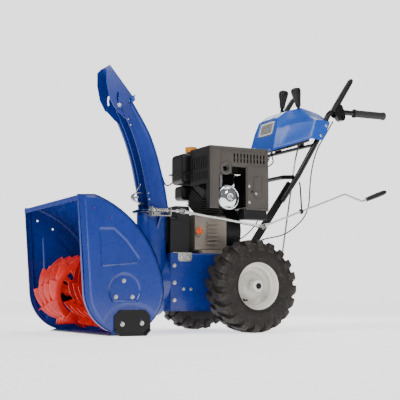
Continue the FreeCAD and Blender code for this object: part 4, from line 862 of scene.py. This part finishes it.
def lever_bar():
    """The moulded bar of the left clutch lever, ribbed on its lower face."""
    foot = Vector((250, 436, 982))
    along = Vector((0, 0.553, 0.833))
    normal = Vector((0, -0.833, 0.553))
    rows = []
    for reach, half, thick in (
        (50, 11, 7), (54, 15, 10.5), (90, 16, 11), (150, 16, 10.5), (200, 15.5, 10), (238, 15, 9),
        (247, 12, 7.4), (250, 8, 4),
    ):
        middle = foot + along * reach
        section = rounded_rectangle(half * 2, thick * 2, min(half, thick) * 0.7, 4)
        rows.append([middle + Vector((s, 0, 0)) + normal * u for s, u in section])
    shape = loft(rows)
    reach = Vector((11.5, 0, 0))
    for i in range(14):
        middle = foot + along * (84 + i * 11.2) - normal * 9.8
        shape.joined(sweep([middle - reach, middle + reach], circle(1.7, 10), up=along))
    return shape


def clutch_levers():
    """Moulded clutch levers: a ribbed bar above each grip, on a pair of steel cheeks."""
    pivot = joint_place("auger_clutch_squeeze")
    bar = lever_bar()
    steel = Shape()
    outline = [(-12, -9), (-5, -13), (6, -13), (12, -8), (16, 8), (9, 34), (-2, 60), (-12, 64), (-30, 44),
               (-44, 18), (-40, 6), (-20, -1)]
    for x0 in (231, 266):
        steel.joined(prism_x([(pivot.y + y, pivot.z + z) for y, z in outline], x0, x0 + 3))
    for side, name in ((1, "left"), (-1, "right")):
        body = "clutch_lever_" + name
        blade = bar if side > 0 else bar.mirrored()
        cheeks = steel if side > 0 else steel.mirrored()
        piece("lever_bar_" + name, blade, BLACK_PLASTIC, body, replaces=[body], smooth=38)
        piece("lever_cheeks_" + name, cheeks, BLACK_STEEL, body, bevel=0.6)


# ---- panel cover --------------------------------------------------------------------------
# front to back: the lower edge's y, how far the outline leans back per mm of height, then (x, z) of
# the lower edge, the shoulder and the crown
PANEL_STATIONS = np.array([
    (215.0, 0.280, 108, 842, 102, 950, 84, 1006), (252.0, 0.320, 160, 856, 146, 968, 92, 1042),
    (328.0, 0.322, 266, 885, 266, 972, 104, 1062), (393.0, 0.467, 266, 880, 266, 970, 116, 1040),
])
PANEL_ALONG = np.array([0.0, 0.28, 0.72, 1.0])
LAMP_Y, LAMP_Z = 251.0, 963.0
LAMP_TILT = -15.6
LAMP_HALF_WIDTH, LAMP_HALF_HEIGHT = 61.0, 35.5
LAMP_GAP = 2.0             # between the opening and the bezel
FLANK_DEPTH = 9.0          # how far the cover's flanks and shoulders are hollowed


def panel_row(t):
    """The cover's outline at a share t of the way from front to back, as (x, y, z) points."""
    low_y, lean, x0, z0, x1, z1, x2, z2 = (
        np.interp(t, PANEL_ALONG, PANEL_STATIONS[:, k]) for k in range(8)
    )
    swell = math.sin(math.pi * min(1.0, t / 0.9))
    scoop = FLANK_DEPTH * math.sin(math.pi * min(1.0, max(0.0, (t - 0.15) / 0.52)))
    half = []
    for k in range(9):
        s = k / 8
        hollow = scoop * smoothstep(s, 0.12, 0.5) * smoothstep(1 - s, 0.0, 0.3)
        half.append((x0 + (x1 - x0) * s - hollow, z0 + (z1 - z0) * s))
    for k in range(1, 11):
        s = k / 10
        dip = FLANK_DEPTH * math.sin(math.pi * s) * swell
        half.append((x1 + (x2 - x1) * s - 0.4 * dip, z1 + (z2 - z1) * s - dip))
    for k in range(1, 7):
        s = k / 6
        half.append((x2 * (1 - s), z2 + 2.0 * math.sin(math.pi / 2 * s) * swell))
    full = half + [(-x, z) for x, z in half[-2::-1]]
    return [(x, low_y + lean * (z - z0), z) for x, z in full]


def on_window(angle, grow):
    """A point on the lamp's opening, grown outwards, in the direction of an angle from its middle."""
    dx, dz = math.cos(angle), math.sin(angle)
    reach = min(
        (LAMP_HALF_WIDTH + grow) / max(abs(dx), 1e-6), (LAMP_HALF_HEIGHT + grow) / max(abs(dz), 1e-6)
    )
    return dx * reach, LAMP_Z + dz * reach


def panel_cover():
    """The sculpted cover: crowned top, hollowed flanks, framed lamp opening."""
    rows = [panel_row(i / 48) for i in range(49)]
    shape = skin(rows)
    front_y, lean, half, low = PANEL_STATIONS[0][:4]
    ring = [(x, z) for x, _, z in rows[0]] + [(-half + 2 * half * k / 12, low) for k in range(1, 12)]
    loops = []
    for share, grow, back in (
        (0, 9, 0), (0.35, 9, 0), (0.7, 9, 0), (1, 9, 0), (1, 7, 1.2), (1, 3.5, 5.0), (1, 0, 6.0),
        (1, -1.0, 12),
    ):
        loop = []
        for x, z in ring:
            wx, wz = on_window(math.atan2(z - LAMP_Z, x), grow)
            px = x + (wx - x) * share
            pz = z + (wz - z) * share
            loop.append((px, front_y + lean * (pz - low) + back, pz))
        loops.append(loop)
    shape.joined(skin(loops, wrap_columns=True))
    piece("panel_cover", shape, BLUE_PLASTIC, "frame", replaces=["control_panel"],
          smooth=34, thicken=2.6)


def panel_fixings():
    """The cover's bolted end plates and its dark tray below."""
    inner, outer = 264.5, 268.5
    outline = [(333, 889), (341, 884), (388, 881), (397, 886), (432, 960), (430, 970), (420, 973),
               (362, 974), (355, 970)]
    plates, fixings = Shape(), Shape()
    for side in (-1, 1):
        plates.joined(prism_x(outline, side * inner, side * outer))
        for y, z in ((413, 951), (382, 902)):
            fixings.joined(bolt_head((side * outer, y, z), (side, 0, 0), 9.5))
    piece("panel_ends", plates, BLUE_PLASTIC, "frame", bevel=1.0)
    piece("panel_bolts", fixings, ZINC, "frame", smooth=35)
    rings = []
    for y, low, low_half, high, high_half in (
        (224, 838, 100, 856, 104), (272, 850, 172, 874, 178), (328, 872, 252, 893, 258),
    ):
        rings.append([(-low_half, y, low), (low_half, y, low), (high_half, y, high), (-high_half, y, high)])
    piece("panel_tray", loft(rings), BLACK_PLASTIC, "frame", bevel=0.8)


def lamp():
    """The headlight: a pale bezel, a fluted lens and a dark bowl behind it."""
    tilt = Matrix.Translation((0, LAMP_Y, LAMP_Z)) @ Matrix.Rotation(math.radians(LAMP_TILT), 4, "X")
    width, height = 2 * (LAMP_HALF_WIDTH - LAMP_GAP), 2 * (LAMP_HALF_HEIGHT - LAMP_GAP)
    loops = []
    for inset, back in ((0, 8), (0, 1.0), (1.2, -0.6), (5.5, -0.6), (7.5, 2.0), (7.5, 8)):
        ring = rounded_rectangle(width - 2 * inset, height - 2 * inset, 7 - min(inset, 4) * 0.5)
        loops.append([(s, back, u) for s, u in ring])
    bezel = skin(loops, wrap_rows=True, wrap_columns=True)
    piece("lamp_bezel", bezel.turned(tilt), RIM, "frame", replaces=["headlight"], smooth=35)
    rows = []
    half_width, half_height, back = 52, 27, 4.6
    for i in range(41):
        x = -half_width + 2 * half_width * i / 40
        flute = 0.5 * math.cos(i * math.pi)
        rows.append([(x, 1.6 - flute, -half_height), (x, 0.8 - flute, 0), (x, 1.6 - flute, half_height),
                     (x, back, half_height), (x, back, -half_height)])
    piece("lamp_lens", loft(rows).turned(tilt), LENS, "frame", smooth=50)
    loops = []
    for grow, back in ((0, 7.6), (0, 9), (-6, 20), (-20, 27)):
        ring = rounded_rectangle(108 + 2 * grow, 60 + 2 * grow, 8)
        loops.append([(s, back, u) for s, u in ring])
    piece("lamp_bowl", loft(loops).turned(tilt), BLACK_PLASTIC, "frame", smooth=40)


# ---- engine -------------------------------------------------------------------------------
PIPE_Y, PIPE_Z = -106.0, 722.0     # the exhaust pipe's outlet in the engine cover


def muffler():
    """The silencer: a polished dish with a rolled rim and centre bolt, its can and its pipe."""
    x, y, z = 206.0, -79.0, 596.0
    profile = [(-4, 49), (-4, 53), (-2, 55.5), (2, 56), (6, 55), (8, 53), (8.5, 50), (7, 48.5), (9, 46),
               (15, 38), (19, 27), (20.5, 16), (19, 12), (17.5, 11), (17.5, 0)]
    dish = lathe(profile, (x, y, z), (1, 0, 0), 72)
    piece("silencer_dish", dish, CHROME, "frame", replaces=["muffler"], smooth=40)
    can = lathe([(-38, 20), (-38, 40), (-36, 45), (-30, 46), (-6, 46), (-4, 46)], (x, y, z), (1, 0, 0), 56)
    can.joined(lathe([(0, 11), (70, 11)], (184, PIPE_Y, 640), (0, 0, 1), 24))
    pipe = [(-42, 11), (-42, 15), (22, 15), (22, 12.5), (20, 11.5), (-30, 11.5)]
    can.joined(lathe_loop(pipe, (x, PIPE_Y, PIPE_Z), (1, 0, 0), 36))
    piece("silencer_can", can, STEEL, "frame", smooth=40)
    bolts = bolt_head((x + 17.4, y, z), (1, 0, 0), 13)
    for k in range(3):
        a = math.radians(40 + 120 * k)
        place = (x + 11.6, y + 40 * math.cos(a), z + 40 * math.sin(a))
        bolts.joined(lathe([(0, 3.6), (1.6, 3.4), (2.6, 1.6)], place, (1, 0, 0), 16))
    piece("silencer_bolts", bolts, ZINC, "frame", smooth=35)


def shroud_details():
    """Trim on the engine cover: raised borders, louvre blades, the pipe's boss, screws."""
    low, high = corners("engine_shroud")
    face = high.x - 4.0
    borders = (
        (2.2, low.y + 7, high.y - 7, high.z - 13, high.z - 9),
        (2.2, low.y + 9, low.y + 13, low.z + 6, high.z - 9),
        (2.2, high.y - 13, high.y - 9, low.z + 6, high.z - 9),
        (2.0, -131, -128, 700, 802),
        (2.0, -131, 106, 799, 802),
    )
    trim = Shape()
    for proud, y0, y1, z0, z1 in borders:
        trim.joined(box(face - 0.5, face + proud, y0, y1, z0, z1))
    boss = [(0, 17), (5, 17), (6, 19), (6, 25), (4, 28), (0, 29)]
    trim.joined(lathe_loop(boss, (face, PIPE_Y, PIPE_Z), (1, 0, 0), 44))
    for i in range(10):
        y = -66 + i * 17.0
        trim.joined(box(face - 3.5, face - 0.4, y - 0.4, y + 8.4, 770, 773))
    piece("cover_trim", trim, SHROUD, "frame", bevel=0.6, smooth=35)
    screws = Shape()
    for y, z in ((12, 648), (47, 617), (12, 576)):
        screws.joined(bolt_head((face + 4, y, z), (1, 0, 0), 8))
    piece("cover_screws", screws, ZINC, "frame", smooth=35)


def case_strap():
    """The plated strap bolted at the top front corner of the wheel-drive case."""
    face, top = corners("transmission_case")[1].xz
    front, back, foot, sheet = -299, -231, 311, 2.4
    outline = [(front, top + sheet), (front, foot + 11), (front + 3, foot + 4), (front + 10, foot),
               (back - 10, foot), (back - 3, foot + 4), (back, foot + 11), (back, top + sheet)]
    strap = prism_x(outline, face + 0.2, face + 0.2 + sheet)
    strap.joined(box(face - 9, face + 0.2 + sheet, -325, back, top + 0.2, top + sheet))
    piece("case_strap", strap, ZINC, "frame", bevel=0.5)
    bolts = Shape()
    for y in (-280, -247):
        bolts.joined(bolt_head((face + 0.2 + sheet, y, 328), (1, 0, 0), 9))
    piece("case_strap_bolts", bolts, ZINC, "frame", smooth=35)


# ---- cables -------------------------------------------------------------------------------
CABLE_RADIUS = 3.0
CABLE_ROUTES = {
    "clutch_cable_left": [
        (246, 468, 980), (240, 448, 945), (230, 424, 900), (221, 402, 862), (216, 385, 820), (214, 371, 772),
        (213, 361, 722), (214, 354, 672), (216, 350, 622), (216, 345, 578), (215, 331, 540), (213, 306, 505),
        (210, 272, 476), (205, 236, 450), (198, 203, 435), (186, 168, 427), (171, 138, 421), (152, 112, 410),
        (140, 92, 384), (136, 80, 349)],
    "deflector_cable": [
        (-100, 352, 905), (-92, 340, 872), (-70, 325, 842), (-30, 306, 820), (15, 280, 800), (40, 235, 772),
        (44, 180, 760), (43, 120, 752), (43, 60, 747), (42, 0, 743), (43, -60, 740), (44, -120, 735),
        (43, -180, 724), (53, -225, 706), (68, -262, 686)],
    "chute_riser": [
        (84, -296, 662), (88, -316, 646), (91, -334, 650), (92, -346, 676), (92, -358, 716), (91, -371, 757),
        (90, -386, 800), (90, -404, 845), (90, -424, 888), (90, -450, 931), (90, -477, 973),
        (90, -497, 1003)],
}
CABLE_ROUTES["clutch_cable_right"] = [(-x, y, z) for x, y, z in CABLE_ROUTES["clutch_cable_left"]]


def cables():
    nodes = {"clutch_cable_left": "control_cables", "chute_riser": "chute_cable"}
    for name, route in CABLE_ROUTES.items():
        line = bpy.data.curves.new(name, "CURVE")
        line.dimensions = "3D"
        line.bevel_depth = CABLE_RADIUS * MM
        line.bevel_resolution = 4
        line.resolution_u = 10
        line.use_fill_caps = True
        spline = line.splines.new("NURBS")
        spline.points.add(len(route) - 1)
        for point, (x, y, z) in zip(spline.points, route):
            point.co = (x * MM, y * MM + AXLE_Y, z * MM, 1)
        spline.order_u = 3
        spline.use_endpoint_u = True
        line.materials.append(JACKET)
        made = linked(name, line)
        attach(made, "chute" if name == "chute_riser" else "frame")
        if name in nodes:
            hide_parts(nodes[name])


# ---- camera, light and floor --------------------------------------------------------------
def studio():
    """Camera, plain pale floor, even surroundings, two soft suns and two panels."""
    camera = bpy.data.cameras.new("camera")
    camera.lens = 86.06
    camera.sensor_width = 36
    eye = linked("camera", camera)
    yaw, pitch = 1.08751, 0.10178
    eye.location = (3.89137, -2.11782, 0.15293)
    eye.rotation_euler = (math.pi / 2 + pitch, 0, yaw)
    bpy.context.scene.camera = eye

    half = 30
    floor = bpy.data.meshes.new("floor")
    floor.from_pydata([(-half, -half, 0), (half, -half, 0), (half, half, 0), (-half, half, 0)], [],
                      [(0, 1, 2, 3)])
    pale = bpy.data.materials.new("floor")
    pale.use_nodes = True
    shader = pale.node_tree.nodes["Principled BSDF"]
    shader.inputs["Base Color"].default_value = (0.9, 0.9, 0.9, 1)
    shader.inputs["Roughness"].default_value = 0.6
    shader.inputs["Emission Color"].default_value = (1, 1, 1, 1)
    shader.inputs["Emission Strength"].default_value = 1.2
    floor.materials.append(pale)
    ground = linked("floor", floor)

    # the surroundings are bright as a backdrop and dim as a light
    world = bpy.data.worlds.new("studio")
    world.use_nodes = True
    nodes, links = world.node_tree.nodes, world.node_tree.links
    nodes["Background"].inputs["Color"].default_value = (1, 1, 1, 1)
    shown = nodes.new("ShaderNodeMapRange")
    shown.inputs["To Min"].default_value = 0.22
    shown.inputs["To Max"].default_value = 2.15
    links.new(nodes.new("ShaderNodeLightPath").outputs["Is Camera Ray"], shown.inputs["Value"])
    links.new(shown.outputs["Result"], nodes["Background"].inputs["Strength"])
    bpy.context.scene.world = world
    suns = (("key", (0.35, -0.85, 0.6), 2.6, 34), ("top", (0.1, 0.2, 1.0), 1.3, 50))
    for name, towards, strength, spread in suns:
        light = bpy.data.lights.new(name, "SUN")
        light.energy, light.angle = strength, math.radians(spread)
        linked(name, light).rotation_euler = Vector(towards).to_track_quat("Z", "Y").to_euler()
    panels = (("side", (3.4, 0.6, 2.4), 0.8, 24), ("back", (-2.8, 1.8, 2.4), 1.8, 50))
    for name, place, size, power in panels:
        light = bpy.data.lights.new(name, "AREA")
        light.size, light.energy = size, power
        panel = linked(name, light)
        panel.location = place
        aim = Vector((0, 0, 0.5)) - panel.location
        panel.rotation_euler = aim.to_track_quat("-Z", "Y").to_euler()


studio()
dress_cad()
side_plates()
auger()
wheels()
chute()
wing_knobs()
panel_levers()
grips()
crank_handle()
clutch_levers()
panel_cover()
panel_fixings()
lamp()
muffler()
shroud_details()
case_strap()
cables()
